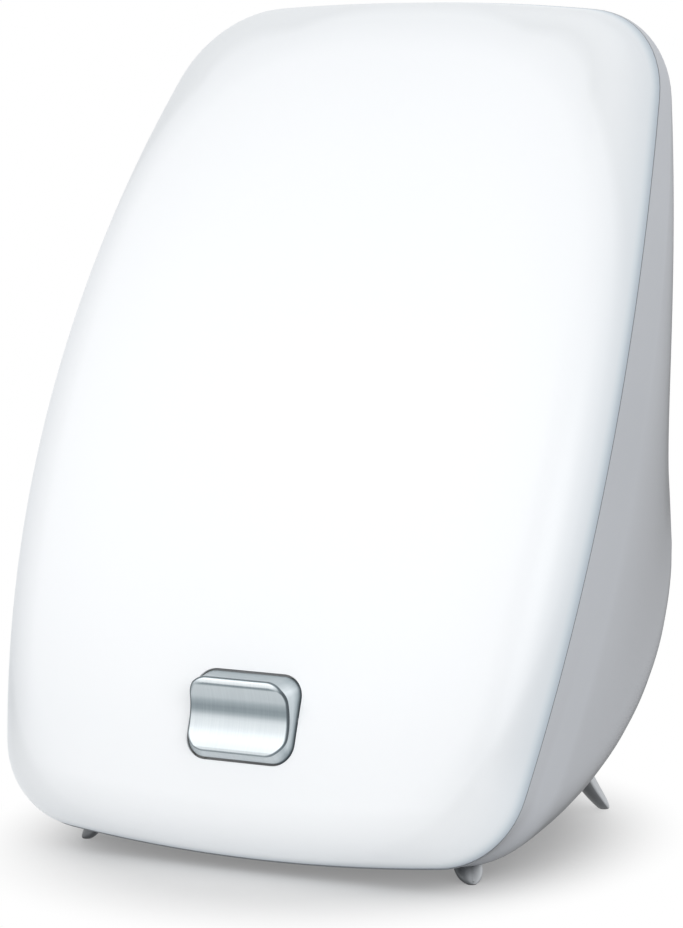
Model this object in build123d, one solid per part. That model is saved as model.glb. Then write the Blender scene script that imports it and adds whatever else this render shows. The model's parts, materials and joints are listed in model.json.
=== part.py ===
from build123d import *
import math
import os

# Tabletop daylight lamp: an opal wedge-shaped screen on a grey rear housing, four splayed feet
# and a wide rocker key low on the screen.  Millimetres, +Z up, the screen faces -Y.  The origin
# is on the floor, under the middle of the lamp.

# ---- overall form -------------------------------------------------------------------------
SEAM_Y = -107.1          # depth of the lowest point of the seam between screen and housing
SEAM_Z = 5.85            # its height above the floor
SEAM_R = 1010.0          # radius of the seam in side view
SEAM_LEAN = 16.0         # lean of the seam at its lowest point, degrees from upright
TOP_Z = 407.0            # top of the lamp
BODY_DEPTH = 232.0       # from the lowest point of the seam to the flat back
SCREEN_DEPTH = 26.7      # front surface ahead of the seam, square to it
SCREEN_EDGE_R = 25.0     # rounding between the front surface and the screen's rim
WALL = 2.5               # moulded wall of the screen and of the housing
SEAM_GAP = 0.4           # shadow line between screen and housing
RING_T, RING_GAP, RING_LAP, RING_TAIL = 1.8, 0.3, 6.0, 0.2    # locating ring inside the seam

# Front-view outlines: half widths at the bottom and top corners, heights of the bottom and top
# edges, how far each edge is arched, how far the sides bulge, and the corner radii.
SEAM_OUTLINE = dict(low_w=129.0, low_z=5.85, low_arch=9.4, top_w=121.4, top_z=TOP_Z, top_arch=7.0,
                    bulge=25.1, low_r=43.4, top_r=55.4)
BELLY_OUTLINE = dict(SEAM_OUTLINE, low_z=4.45, low_arch=1.4)
BACK_OUTLINE = dict(low_w=131.0, low_z=27.5, low_arch=3.0, top_w=98.0, top_z=402.6, top_arch=6.0,
                    bulge=3.0, low_r=110.0, top_r=38.0)
BELLY_SHARE, TAPER_POWER = 1 / 6, 2.1      # how soon the bottom flattens, how late the sides draw in

# The housing's sections stand on planes that fan out from a line just above the top of the seam.
FAN_DEPTH, FAN_Z = 226.2, 411.0
FAN_END_LEAN = 1.0                         # lean of the last section before the rounded back
FAN_STEPS, FAN_EXTRA = 6, 3                # sections behind the seam's chord, and ahead of it
BACK_ROUND, ROUND_STEPS = 9.5, 6           # how far the back's rounding draws in, its sections

# ---- inner carrier plane, leaning with the screen -----------------------------------------
LEAN = 29.2
CHORD_MID = (0, SEAM_Y + 111.6, 206.4)
TRAY_N = -6.0            # front face of the reflector floor, measured ahead of the seam's chord
TRAY_T, TRAY_L = 0.8, 372.0
TRAY_FLOOR, TRAY_WING, TRAY_RISE = 98.0, 117.0, 11.0
POST_X, POST_V, POST_R, POST_PILOT = 90.0, 150.0, 5.0, 12.0
LEAD_HOLE_V, LEAD_HOLE_R = -122.0, 7.0

# ---- lamps --------------------------------------------------------------------------------
LAMP_X, LAMP_N = 60.0, 10.0                # lamp centres, tube axes ahead of the seam's chord
TUBE_R, TUBE_PITCH, TUBE_L = 8.75, 20.4, 262.0
CAP_W, CAP_L, CAP_D, CAP_V = 43.0, 24.0, 23.0, -160.0
LAMP_PIN_R, LAMP_PIN_L = 1.15, 6.8
LAMP_PINS = (-16.5, -5.5, 5.5, 16.5)
HOLDER_L, HOLDER_FLANGE, FLANGE_T, HOLDER_SCREW_X = 16.0, 9.0, 2.5, 14.0
CLIP_V, CLIP_W = 95.0, 12.0

# ---- ballast and terminals behind the reflector -------------------------------------------
BALLAST_V, BALLAST_W, BALLAST_H, BALLAST_D = -35.0, 150.0, 60.0, 28.0
BALLAST_FLANGE, SHEET_T = 10.0, 0.8
TERMINAL_V, TERMINAL_W, TERMINAL_H, TERMINAL_D = 35.0, 36.0, 18.0, 14.0

# ---- rocker key: its frame lies at the pivot, x across, y up the screen, z outwards --------
KEY_Z = 76.8
KEY_W, KEY_H, KEY_R = 60.0, 41.5, 10.0     # outline at the screen's surface
FACE_W, FACE_H, FACE_R = 54.0, 35.0, 8.0   # outline of the raised face
KEY_RISE = 4.4                             # face above the screen when the key is level
KEY_TILT = 8.3                             # rest tilt, top edge out
KEY_PIVOT = 3.0                            # pivot behind the screen's surface
KEY_SKIRT = 6.0                            # skirt behind the pivot
KEY_GAP = 0.6
KEY_WALL = 2.0
KEY_ROOF = 3.5                             # underside of the face, ahead of the pivot
DISH_R, DISH_SAG = 60.0, 1.9               # concave face, open at both ends
PIN_R, PIN_CLEAR, PIN_L = 1.5, 0.06, 58.0
CHEEK_X, CHEEK_T, CHEEK_H, CHEEK_HEAD = 24.0, 3.0, 8.0, 3.0
PLUNGER_Y, PLUNGER_R, PLUNGER_CLEAR, PLUNGER_L = 6.0, 1.8, 0.08, 8.5
PLAY = 0.3                                 # between the plunger and the key
SWITCH_W, SWITCH_T, SWITCH_H, SWITCH_TOP = 28.0, 10.3, 16.0, -4.0
WEB_T = 2.5
CARRIER_FOOT_W, CARRIER_FOOT_H, CARRIER_FOOT_V = 72.0, 26.0, -162.6

# ---- feet: height, drift inwards along both axes, radius along and across the splay ---------
CLAW = ((0.4, 0.2, 2.9, 3.2), (3.5, 1.7, 4.0, 6.2), (8.0, 4.0, 4.9, 7.2), (15.0, 7.4, 5.7, 7.8),
        (30.0, 14.8, 8.0, 9.2), (46.0, 22.5, 11.5, 11.5))
FEET = {"front_left": (-103.5, 25.3, -1, -1), "front_right": (103.5, 25.3, 1, -1),
        "rear_left": (-101.4, 195.8, -1, 1), "rear_right": (101.4, 195.8, 1, 1)}
FOOT_SCREW = {-1: (4.0, 4.0, 14.0), 1: (12.0, 19.0, 35.0)}  # drift, tip height, seat height
FOOT_BOSS_R = 5.0
PAD_T, PAD_R = 1.6, 2.4

# ---- mains inlet and vents in the back ----------------------------------------------------
INLET_Z, INLET_W, INLET_H, INLET_DEEP = 66.0, 27.0, 19.8, 18.0
INLET_FLANGE, INLET_RIM = 2.0, 1.5
INLET_CAVITY = (24.4, 16.6, 14.5)
BLADE_W, BLADE_T, BLADE_L, BLADE_PITCH = 2.0, 4.0, 12.0, 6.0
VENT_W, VENT_H, VENT_PITCH, VENT_COUNT = 3.0, 30.0, 9.0, 13
VENT_ROWS = (112.0, 330.0)

# ---- screws: shank radius, head radius, head height ---------------------------------------
M3 = (1.5, 2.9, 2.0)
M2 = (1.0, 1.9, 1.4)
RIVET = (1.2, 2.2, 0.9)

AXIS_Y = SEAM_Y + SEAM_R * math.cos(math.radians(SEAM_LEAN))
AXIS_Z = SEAM_Z - SEAM_R * math.sin(math.radians(SEAM_LEAN))
BACK_Y = SEAM_Y + BODY_DEPTH
BIG = 600.0


# ---- master form --------------------------------------------------------------------------
def blend(a, b, share):
    return {name: a[name] + (b[name] - a[name]) * share for name in a}


def outline(sizes, inset=0.0):
    """Closed front-view outline, x across and y up: four arcs with rounded corners."""
    base, crest = sizes["low_z"] + inset, sizes["top_z"] - inset
    low = Vector(sizes["low_w"] - inset, base + sizes["low_arch"])
    top = Vector(sizes["top_w"] - inset, crest - sizes["top_arch"])
    side = (top - low).normalized()
    mid = (low + top) * 0.5 + Vector(side.Y, -side.X) * sizes["bulge"]
    flip = lambda p: Vector(-p.X, p.Y)
    face = Face(Wire([ThreePointArc(low, mid, top), ThreePointArc(top, (0, crest), flip(top)),
                      ThreePointArc(flip(top), flip(mid), flip(low)),
                      ThreePointArc(flip(low), (0, base), low)]))
    face = face.fillet_2d(sizes["low_r"] - inset, face.vertices().sort_by(Axis.Y)[:2])
    return face.fillet_2d(sizes["top_r"] - inset, face.vertices().sort_by(Axis.Y)[-2:])


def drum(radius):
    """Cylinder about the seam's axis, which lies along X far behind the lamp."""
    return Pos(0, AXIS_Y, AXIS_Z) * Rotation(0, 90, 0) * Cylinder(radius, BIG)


def screen_form(inset=0.0):
    """Solid form ahead of the seam: straight rim, rounded edge and curved front."""
    start = Plane((0, SEAM_Y - 2 * SCREEN_DEPTH, 0), x_dir=(1, 0, 0), z_dir=(0, -1, 0))
    body = extrude(start * outline(SEAM_OUTLINE, inset), -BODY_DEPTH - 2 * SCREEN_DEPTH)
    body = body & drum(SEAM_R + SCREEN_DEPTH - inset)
    front = body.faces().sort_by(Axis.Y)[0]
    return fillet(front.edges(), SCREEN_EDGE_R - inset)


def section(low, high, inset):
    """Housing section on the plane that meets the floor at depth low and the fan's height at high."""
    share = min(max(low / BODY_DEPTH, 0), 1)
    ease = min(share / BELLY_SHARE, 1)
    front = blend(SEAM_OUTLINE, BELLY_OUTLINE, ease * ease * (3 - 2 * ease))
    flat = outline(blend(front, BACK_OUTLINE, share ** TAPER_POWER), inset)
    lean = math.atan((high - low) / (FAN_Z - SEAM_Z))
    stretched = scale(flat, by=(1, 1 / math.cos(lean), 1))
    plane = Plane((0, SEAM_Y + high, FAN_Z), x_dir=(1, 0, 0), z_dir=(0, -math.cos(lean), math.sin(lean)))
    return plane * (Pos(0, -FAN_Z / math.cos(lean), 0) * stretched)


def housing_form(inset=0.0):
    """Solid form behind the seam: it narrows towards a flat, softly rounded back."""
    chord = math.degrees(math.atan(FAN_DEPTH / (FAN_Z - SEAM_Z)))
    step = (chord - FAN_END_LEAN) / FAN_STEPS
    leans = [FAN_END_LEAN + i * step for i in reversed(range(FAN_STEPS + FAN_EXTRA + 1))]
    lows = [FAN_DEPTH - (FAN_Z - SEAM_Z) * math.tan(math.radians(lean)) for lean in leans]
    walls = loft([section(low, FAN_DEPTH, inset) for low in lows])
    rounding = []
    for i in range(ROUND_STEPS):
        turn = math.radians(90 * i / (ROUND_STEPS - 1))
        low = lows[-1] + (BODY_DEPTH - inset - lows[-1]) * math.sin(turn)
        high = FAN_DEPTH + (BODY_DEPTH - inset - FAN_DEPTH) * math.sin(turn)
        rounding.append(section(low, high, inset + (BACK_ROUND - inset) * (1 - math.cos(turn))))
    return walls + loft(rounding)


# ---- placing ------------------------------------------------------------------------------
def tray_plane(x=0.0, v=0.0, n=0.0):
    """Plane that leans with the screen: x across, y up the lean, z towards the screen."""
    lean = math.radians(LEAN)
    base = Plane(CHORD_MID, x_dir=(1, 0, 0), z_dir=(0, -math.cos(lean), math.sin(lean)))
    return Plane(base.from_local_coords((x, v, n)), x_dir=(1, 0, 0), z_dir=base.z_dir)


def key_frame(tilt=0.0):
    """Plane at the key's pivot: x across, y up the screen, z square to the screen, outwards."""
    radius = SEAM_R + SCREEN_DEPTH
    rise = math.asin((KEY_Z - AXIS_Z) / radius)
    normal = Vector(0, -math.cos(rise), math.sin(rise))
    surface = Vector(0, AXIS_Y - radius * math.cos(rise), KEY_Z)
    pivot = Plane(surface - normal * KEY_PIVOT, x_dir=(1, 0, 0), z_dir=normal)
    return pivot.rotated((tilt, 0, 0))


def box(x, y, z):
    """Box standing on its lowest face."""
    return Box(x, y, z, align=(Align.CENTER, Align.CENTER, Align.MIN))


def peg(radius, height):
    return Cylinder(radius, height, align=(Align.CENTER, Align.CENTER, Align.MIN))


def along_x(radius, length):
    return Rotation(0, 90, 0) * Cylinder(radius, length)


def along_v(sketch, length):
    """Profile in x and z, drawn out by its length along +Y."""
    return extrude(Plane((0, 0, 0), x_dir=(1, 0, 0), z_dir=(0, -1, 0)) * sketch, -length)


def screw(size, length):
    """Screw with its shank down and the underside of its head at the origin."""
    shank, head, head_h = size
    cap = fillet(peg(head, head_h).edges().sort_by(Axis.Z)[-1], head_h * 0.4)
    return cap + Pos(0, 0, -length) * peg(shank, length)


def posts():
    return [(x, v) for x in (-POST_X, POST_X) for v in (-POST_V, POST_V)]


# ---- screen and housing -------------------------------------------------------------------
def key_opening():
    shape = RectangleRounded(KEY_W + 2 * KEY_GAP, KEY_H + 2 * KEY_GAP, KEY_R + KEY_GAP)
    return key_frame() * (Pos(0, 0, -10) * extrude(shape, 30))


def front_cover(outer, inner):
    shell = outer - inner - drum(SEAM_R + SEAM_GAP / 2)
    return shell - key_opening()


def locating_ring():
    """Thin ring just inside the seam, which lines up the screen with the housing."""
    band = screen_form(WALL + RING_GAP) - screen_form(WALL + RING_GAP + RING_T)
    return (band & drum(SEAM_R + RING_LAP)) - drum(SEAM_R - RING_TAIL)


def vents():
    slot = Plane.XZ * SlotOverall(VENT_H, VENT_W, rotation=90)
    slot = extrude(slot, 8, both=True)
    first = -VENT_PITCH * (VENT_COUNT - 1) / 2
    places = [(first + i * VENT_PITCH, z) for z in VENT_ROWS for i in range(VENT_COUNT)]
    return [Pos(x, BACK_Y, z) * slot for x, z in places]


def foot_screw_place(name):
    """Axis of the screw that holds a foot, and the heights of its tip and of its head's seat."""
    x, depth, side, end = FEET[name]
    drift, tip, seat = FOOT_SCREW[end]
    return Pos(x - side * drift, SEAM_Y + depth - end * drift, 0), tip, seat


def rear_housing(outer, inner):
    shell = (outer & drum(SEAM_R - SEAM_GAP / 2)) - inner
    for x, v in posts():
        post = tray_plane(x, v, TRAY_N - TRAY_T) * (Pos(0, 0, -BIG / 2) * peg(POST_R, BIG / 2))
        shell += post & outer
    for x, v in posts():
        shell -= tray_plane(x, v, TRAY_N - TRAY_T) * (Pos(0, 0, -POST_PILOT) * peg(M3[0], POST_PILOT))
    for name in FEET:
        place, tip, seat = foot_screw_place(name)
        shell += place * peg(FOOT_BOSS_R, seat) & outer
        shell -= place * peg(M3[0] + 0.2, seat)
    shell -= Pos(0, BACK_Y, INLET_Z) * Box(INLET_W, 3 * WALL, INLET_H)
    for slot in vents():
        shell -= slot
    return shell


# ---- feet ---------------------------------------------------------------------------------
def foot(name, housing):
    """Claw that splays outwards from the housing to a rounded toe with a socket for its pad."""
    x, depth, side, end = FEET[name]
    sections = []
    for height, drift, along, across in CLAW:
        centre = (x - side * drift, SEAM_Y + depth - end * drift, height)
        sections.append(Plane(centre, x_dir=(side, end, 0), z_dir=(0, 0, 1)) * Ellipse(along, across))
    claw = (loft(sections) - housing).solids().sort_by(Axis.Z)[0]
    place, tip, seat = foot_screw_place(name)
    claw -= place * Pos(0, 0, tip) * peg(M3[0], seat)
    return claw - Pos(x, SEAM_Y + depth, 0) * peg(PAD_R, PAD_T)


def foot_pads():
    return Part() + [Pos(x, SEAM_Y + depth, 0) * peg(PAD_R, PAD_T) for x, depth, side, end in FEET.values()]


def foot_screws():
    screws = []
    for name in FEET:
        place, tip, seat = foot_screw_place(name)
        screws.append(place * Pos(0, 0, seat) * screw(M3, seat - tip))
    return Part() + screws


# ---- reflector and lamps ------------------------------------------------------------------
def reflector_tray():
    line = Polyline((-TRAY_WING, TRAY_RISE), (-TRAY_FLOOR, 0), (TRAY_FLOOR, 0), (TRAY_WING, TRAY_RISE))
    sheet = Pos(0, -TRAY_L / 2, -TRAY_T / 2) * along_v(trace(line, TRAY_T), TRAY_L)
    sheet -= Pos(0, LEAD_HOLE_V, 0) * Cylinder(LEAD_HOLE_R, 4)
    sheet = tray_plane(0, 0, TRAY_N) * sheet
    threaded = holder_screw_places() + carrier_screw_places() + ballast_places()
    holes = fixing_holes(posts(), M3[0] + 0.2) + fixing_holes(threaded, M3[0])
    for hole in holes + fixing_holes(clip_places(), RIVET[0]):
        sheet -= hole
    return sheet


def tray_screws():
    return Part() + [tray_plane(x, v, TRAY_N) * screw(M3, POST_PILOT) for x, v in posts()]


def lamp_tube(x):
    """Twin glass tube, closed and rounded at the far end, with a bridge between the limbs."""
    limb = fillet(peg(TUBE_R, TUBE_L).edges().sort_by(Axis.Z)[-1], TUBE_R * 0.7)
    pair = Pos(-TUBE_PITCH / 2, 0, 0) * limb + Pos(TUBE_PITCH / 2, 0, 0) * limb
    pair += Pos(0, 0, TUBE_L - 2 * TUBE_R) * along_x(TUBE_R * 0.4, TUBE_PITCH)
    return tray_plane(x, CAP_V + CAP_L, LAMP_N) * (Rotation(-90, 0, 0) * pair)


def lamp_cap(x):
    profile = Pos(0, LAMP_N) * RectangleRounded(CAP_W, CAP_D, 8)
    waist = Pos(0, CAP_L * 0.55, 0) * along_v(Pos(0, LAMP_N) * RectangleRounded(CAP_W - 3, CAP_D - 3, 7),
                                              CAP_L * 0.45)
    return tray_plane(x, CAP_V) * (along_v(profile, CAP_L * 0.55) + waist)


def lamp_pins(x):
    pin = Rotation(90, 0, 0) * peg(LAMP_PIN_R, LAMP_PIN_L)
    return Part() + [tray_plane(x + shift, CAP_V, LAMP_N) * pin for shift in LAMP_PINS]


def lamp_holder(x):
    """Moulded lampholder: a block with four pin sockets and a flange screwed to the reflector."""
    low = TRAY_N
    high = LAMP_N + CAP_D / 2
    block = Pos(0, -HOLDER_L, 0) * along_v(Pos(0, (low + high) / 2) * Rectangle(CAP_W, high - low), HOLDER_L)
    block = chamfer(block.edges().filter_by(Axis.Y).sort_by(Axis.Z)[-2:], 4)
    block += Pos(0, -HOLDER_L - HOLDER_FLANGE / 2, low) * box(CAP_W, HOLDER_FLANGE, FLANGE_T)
    for shift in LAMP_PINS:
        block -= Pos(shift, 0, LAMP_N) * Rotation(90, 0, 0) * peg(LAMP_PIN_R, LAMP_PIN_L + 2)
    block = tray_plane(x, CAP_V) * block
    for hole in fixing_holes(holder_screw_places(), M3[0] + 0.1):
        block -= hole
    return block


def holder_screw_places():
    v = CAP_V - HOLDER_L - HOLDER_FLANGE / 2 - 0.5
    return [(x + shift, v) for x in (-LAMP_X, LAMP_X) for shift in (-HOLDER_SCREW_X, HOLDER_SCREW_X)]


def carrier_screw_places():
    x = CARRIER_FOOT_W / 2 - 5
    return [(-x, CARRIER_FOOT_V), (x, CARRIER_FOOT_V)]


def clip_places():
    return [(-LAMP_X, CLIP_V), (LAMP_X, CLIP_V)]


def fixings(places, stack, size):
    """Screws or rivets that hold something of the given thickness on the reflector's front."""
    return Part() + [tray_plane(x, v, TRAY_N + stack) * screw(size, stack + TRAY_T + 2) for x, v in places]


def fixing_holes(places, radius):
    """Through holes in the reflector, or in what it carries."""
    return [tray_plane(x, v, TRAY_N) * Cylinder(radius, 8) for x, v in places]


def lamp_clip(x):
    """Sprung steel U that grips the outer sides of both limbs."""
    reach = TUBE_PITCH / 2 + TUBE_R + SHEET_T / 2
    base, grip, mouth = TRAY_N + SHEET_T / 2, LAMP_N + 5, LAMP_N + 10
    line = Polyline((-reach - 3, mouth), (-reach, grip), (-reach, base), (reach, base), (reach, grip),
                    (reach + 3, mouth))
    clip = tray_plane(x, CLIP_V - CLIP_W / 2) * along_v(trace(line, SHEET_T), CLIP_W)
    for hole in fixing_holes(clip_places(), RIVET[0]):
        clip -= hole
    return clip


# ---- behind the reflector -----------------------------------------------------------------
def behind(v, shape):
    """Place a shape that stands on the reflector's rear face, its z pointing to the back."""
    return tray_plane(0, v, TRAY_N - TRAY_T) * (Rotation(180, 0, 0) * shape)


def ballast_places():
    x = BALLAST_W / 2 + BALLAST_FLANGE / 2
    return [(-x, BALLAST_V), (x, BALLAST_V)]


def ballast_case():
    case = box(BALLAST_W, BALLAST_H, BALLAST_D) - box(BALLAST_W - 2 * SHEET_T, BALLAST_H - 2 * SHEET_T,
                                                      BALLAST_D - SHEET_T)
    case += box(BALLAST_W + 2 * BALLAST_FLANGE, BALLAST_H * 0.5, SHEET_T) - box(BALLAST_W, BALLAST_H, SHEET_T)
    for x, v in ballast_places():
        case -= Pos(x, 0, 0) * Cylinder(M3[0] + 0.2, 4)
    return behind(BALLAST_V, case)


def ballast_screws():
    screws = [Pos(x, 0, SHEET_T) * screw(M3, SHEET_T + TRAY_T + 1) for x, v in ballast_places()]
    return behind(BALLAST_V, Part() + screws)


def ballast_board():
    board = Pos(0, 0, 6) * box(BALLAST_W - 4, BALLAST_H - 4, 1.6)
    feet = [Pos(x, y, 0) * peg(2.5, 6) for x in (-65, 65) for y in (-22, 22)]
    return behind(BALLAST_V, board + feet)


def ballast_components():
    """Chokes, capacitors and heat sink on the board."""
    items = [Pos(x, 0, 7.6) * box(22, 26, 15) for x in (-12, 20)]
    items += [Pos(-45, y, 7.6) * peg(8, 17) for y in (-13, 13)]
    items += [Pos(52, 0, 7.6) * box(3, 44, 16)]
    return behind(BALLAST_V, Part() + items)


def terminal_block():
    block = box(TERMINAL_W, TERMINAL_H, TERMINAL_D)
    for i in range(4):
        x = (i - 1.5) * TERMINAL_W / 4
        block -= Pos(x, 0, 5) * Rotation(90, 0, 0) * Cylinder(2.0, TERMINAL_H)
        block -= Pos(x, 0, 9) * peg(2.2, TERMINAL_D)
    return behind(TERMINAL_V, block)


def terminal_screws():
    screws = [Pos((i - 1.5) * TERMINAL_W / 4, 0, 9) * peg(2.0, 3) for i in range(4)]
    return behind(TERMINAL_V, Part() + screws)


def mains_inlet():
    """Snap-in appliance inlet: rim outside the housing, cavity open to the back."""
    rim = extrude(RectangleRounded(INLET_W + 2 * INLET_FLANGE, INLET_H + 2 * INLET_FLANGE, 2.5), INLET_RIM)
    body = Pos(0, 0, -INLET_DEEP) * box(INLET_W, INLET_H, INLET_DEEP)
    width, height, deep = INLET_CAVITY
    cavity = chamfer(Rectangle(width, height).vertices().sort_by(Axis.Y)[-2:], 4)
    inlet = rim + body - Pos(0, 0, INLET_RIM - deep) * extrude(cavity, deep)
    return Plane((0, BACK_Y, INLET_Z), x_dir=(-1, 0, 0), z_dir=(0, 1, 0)) * inlet


def inlet_blades():
    floor = INLET_RIM - INLET_CAVITY[2]
    places = [(-BLADE_PITCH, -2), (0, 2), (BLADE_PITCH, -2)]
    blades = [Pos(x, y, floor) * box(BLADE_W, BLADE_T, BLADE_L) for x, y in places]
    return Plane((0, BACK_Y, INLET_Z), x_dir=(-1, 0, 0), z_dir=(0, 1, 0)) * (Part() + blades)


# ---- rocker key and switch ----------------------------------------------------------------
def switch_key():
    """Hollow rocker with flared sides, a concave face and a nub over the plunger."""
    top = KEY_PIVOT + KEY_RISE
    base = Pos(0, 0, KEY_PIVOT) * RectangleRounded(KEY_W, KEY_H, KEY_R)
    key = loft([base, Pos(0, 0, top) * RectangleRounded(FACE_W, FACE_H, FACE_R)])
    key += extrude(base, -KEY_PIVOT - KEY_SKIRT)
    key -= Pos(0, 0, top + DISH_R - DISH_SAG) * along_x(DISH_R, KEY_W * 2)
    hollow = RectangleRounded(KEY_W - 2 * KEY_WALL, KEY_H - 2 * KEY_WALL, KEY_R - KEY_WALL)
    key -= Pos(0, 0, -KEY_SKIRT) * extrude(hollow, KEY_SKIRT + KEY_ROOF)
    key += Pos(0, PLUNGER_Y, 0) * peg(PLUNGER_R, KEY_ROOF + 1)
    key -= along_x(PIN_R + PIN_CLEAR, PIN_L + 2 * PLAY)
    return key_frame(KEY_TILT) * key


def key_pin():
    return key_frame() * along_x(PIN_R, PIN_L)


def plunger_top():
    return PLUNGER_Y * math.sin(math.radians(KEY_TILT)) - PLAY


def switch_plunger():
    pin = Pos(0, PLUNGER_Y, plunger_top() - PLUNGER_L) * peg(PLUNGER_R, PLUNGER_L)
    return key_frame() * fillet(pin.edges().sort_by(Axis.Z)[-1], 0.6)


def switch_place():
    return Pos(0, PLUNGER_Y, SWITCH_TOP - SWITCH_H)


def switch_holes():
    return [(-11, SWITCH_TOP - SWITCH_H * 0.55), (11, SWITCH_TOP - SWITCH_H * 0.55)]


def switch_body():
    """Snap-action switch: moulded case, a bore for the plunger and two fixing holes."""
    body = switch_place() * box(SWITCH_W, SWITCH_T, SWITCH_H)
    travel = 2 * PLUNGER_Y * math.sin(math.radians(KEY_TILT))
    floor = plunger_top() - PLUNGER_L - travel - 1
    body -= Pos(0, PLUNGER_Y, floor) * peg(PLUNGER_R + PLUNGER_CLEAR, SWITCH_TOP - floor)
    for x, z in switch_holes():
        body -= Pos(x, PLUNGER_Y, z) * Rotation(90, 0, 0) * Cylinder(M2[0], 2 * SWITCH_T)
    for x in (-9, 0, 9):
        body += Pos(x, PLUNGER_Y, SWITCH_TOP - SWITCH_H - 5) * box(3, 0.8, 5)
    return key_frame() * body


def switch_screws():
    front = PLUNGER_Y - SWITCH_T / 2
    turn = Rotation(90, 0, 0)
    return key_frame() * (Part() + [Pos(x, front, z) * turn * screw(M2, SWITCH_T + 2) for x, z in switch_holes()])


def cheek(x):
    """Upright with a rounded head about the pin."""
    neck = Polyline((-CHEEK_HEAD, 0), (-CHEEK_H, -CHEEK_H), (-CHEEK_H, -60), (CHEEK_H, -60),
                    (CHEEK_H, -CHEEK_H), (CHEEK_HEAD, 0))
    profile = make_face(neck + Line((CHEEK_HEAD, 0), (-CHEEK_HEAD, 0))) + Circle(CHEEK_HEAD)
    plate = extrude(Plane.YZ * profile, CHEEK_T / 2, both=True)
    return Pos(x, 0, 0) * plate


def switch_carrier():
    """Bracket on the reflector: two cheeks for the pin, a web for the switch and a foot."""
    bracket = cheek(-CHEEK_X) + cheek(CHEEK_X)
    web_y = PLUNGER_Y + SWITCH_T / 2 + WEB_T / 2
    low = SWITCH_TOP - SWITCH_H - 8
    web = Pos(0, web_y, low) * box(2 * CHEEK_X + CHEEK_T, WEB_T, SWITCH_TOP - 4 - low)
    wings = [Pos(x, (web_y + CHEEK_H) / 2, low) * box(CHEEK_T, web_y - CHEEK_H + WEB_T, SWITCH_TOP - 4 - low)
             for x in (-CHEEK_X, CHEEK_X)]
    bracket += [web] + wings
    for x, z in switch_holes():
        bracket -= Pos(x, web_y, z) * Rotation(90, 0, 0) * Cylinder(M2[0], 2 * WEB_T)
    bracket -= along_x(PIN_R, BIG)
    bracket = key_frame() * bracket & tray_plane(0, 0, TRAY_N) * box(BIG, BIG, BIG)
    bracket += tray_plane(0, CARRIER_FOOT_V, TRAY_N) * box(CARRIER_FOOT_W, CARRIER_FOOT_H, FLANGE_T)
    for hole in fixing_holes(carrier_screw_places(), M3[0] + 0.1):
        bracket -= hole
    return bracket


parts = {}


def build():
    outer_screen, inner_screen = screen_form(), screen_form(WALL)
    outer_housing, inner_housing = housing_form(), housing_form(WALL)
    parts["front_cover"] = front_cover(outer_screen, inner_screen)
    parts["locating_ring"] = locating_ring()
    parts["rear_housing"] = rear_housing(outer_housing, inner_housing)
    for name in FEET:
        parts[f"foot_{name}"] = foot(name, outer_housing)
    parts["foot_pads"] = foot_pads()
    parts["foot_screws"] = foot_screws()
    parts["reflector_tray"] = reflector_tray()
    parts["tray_screws"] = tray_screws()
    parts["holder_screws"] = fixings(holder_screw_places(), FLANGE_T, M3)
    parts["carrier_screws"] = fixings(carrier_screw_places(), FLANGE_T, M3)
    parts["clip_rivets"] = fixings(clip_places(), SHEET_T, RIVET)
    for side, x in (("left", -LAMP_X), ("right", LAMP_X)):
        parts[f"lamp_tube_{side}"] = lamp_tube(x)
        parts[f"lamp_cap_{side}"] = lamp_cap(x)
        parts[f"lamp_pins_{side}"] = lamp_pins(x)
        parts[f"lamp_holder_{side}"] = lamp_holder(x)
        parts[f"lamp_clip_{side}"] = lamp_clip(x)
    parts["ballast_case"] = ballast_case()
    parts["ballast_screws"] = ballast_screws()
    parts["ballast_board"] = ballast_board()
    parts["ballast_components"] = ballast_components()
    parts["terminal_block"] = terminal_block()
    parts["terminal_screws"] = terminal_screws()
    parts["mains_inlet"] = mains_inlet()
    parts["inlet_blades"] = inlet_blades()
    parts["switch_key"] = switch_key()
    parts["key_pin"] = key_pin()
    parts["switch_plunger"] = switch_plunger()
    parts["switch_body"] = switch_body()
    parts["switch_screws"] = switch_screws()
    parts["switch_carrier"] = switch_carrier()


os.makedirs("parts", exist_ok=True)
build()
for node, shape in parts.items():
    export_step(shape, f"parts/{node}.step")
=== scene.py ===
"""Looks of a tabletop daylight lamp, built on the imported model's frame.

The screen, the housing and the rocker key are worked out again as smooth surfaces from the lamp's
own sizes.  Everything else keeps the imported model's shape and gets its finish here.
"""

import json
import logging
import math
from dataclasses import dataclass, replace
from enum import Enum
from typing import Callable, ClassVar, Sequence

import bmesh
import bpy
import numpy as np
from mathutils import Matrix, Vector


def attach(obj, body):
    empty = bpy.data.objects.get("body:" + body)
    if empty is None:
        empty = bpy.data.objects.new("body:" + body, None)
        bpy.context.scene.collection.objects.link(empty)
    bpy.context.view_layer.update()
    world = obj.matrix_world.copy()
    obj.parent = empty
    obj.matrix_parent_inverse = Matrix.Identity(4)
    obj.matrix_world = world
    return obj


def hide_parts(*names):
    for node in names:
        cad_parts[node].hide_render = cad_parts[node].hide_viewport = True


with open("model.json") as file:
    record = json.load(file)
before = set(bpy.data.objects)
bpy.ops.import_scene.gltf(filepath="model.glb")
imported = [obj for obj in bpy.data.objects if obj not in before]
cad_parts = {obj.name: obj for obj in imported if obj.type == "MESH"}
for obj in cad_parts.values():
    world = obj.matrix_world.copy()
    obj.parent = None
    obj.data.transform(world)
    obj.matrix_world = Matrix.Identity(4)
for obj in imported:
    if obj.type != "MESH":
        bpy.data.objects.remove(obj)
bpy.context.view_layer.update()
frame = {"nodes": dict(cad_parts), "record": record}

LOG = logging.getLogger("daylight_lamp")
MM = 0.001
HALVINGS = 40                     # rounds of halving that find where two surfaces meet
TOUCHING = 1e-7                   # points nearer than this, in metres, are one point
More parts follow.
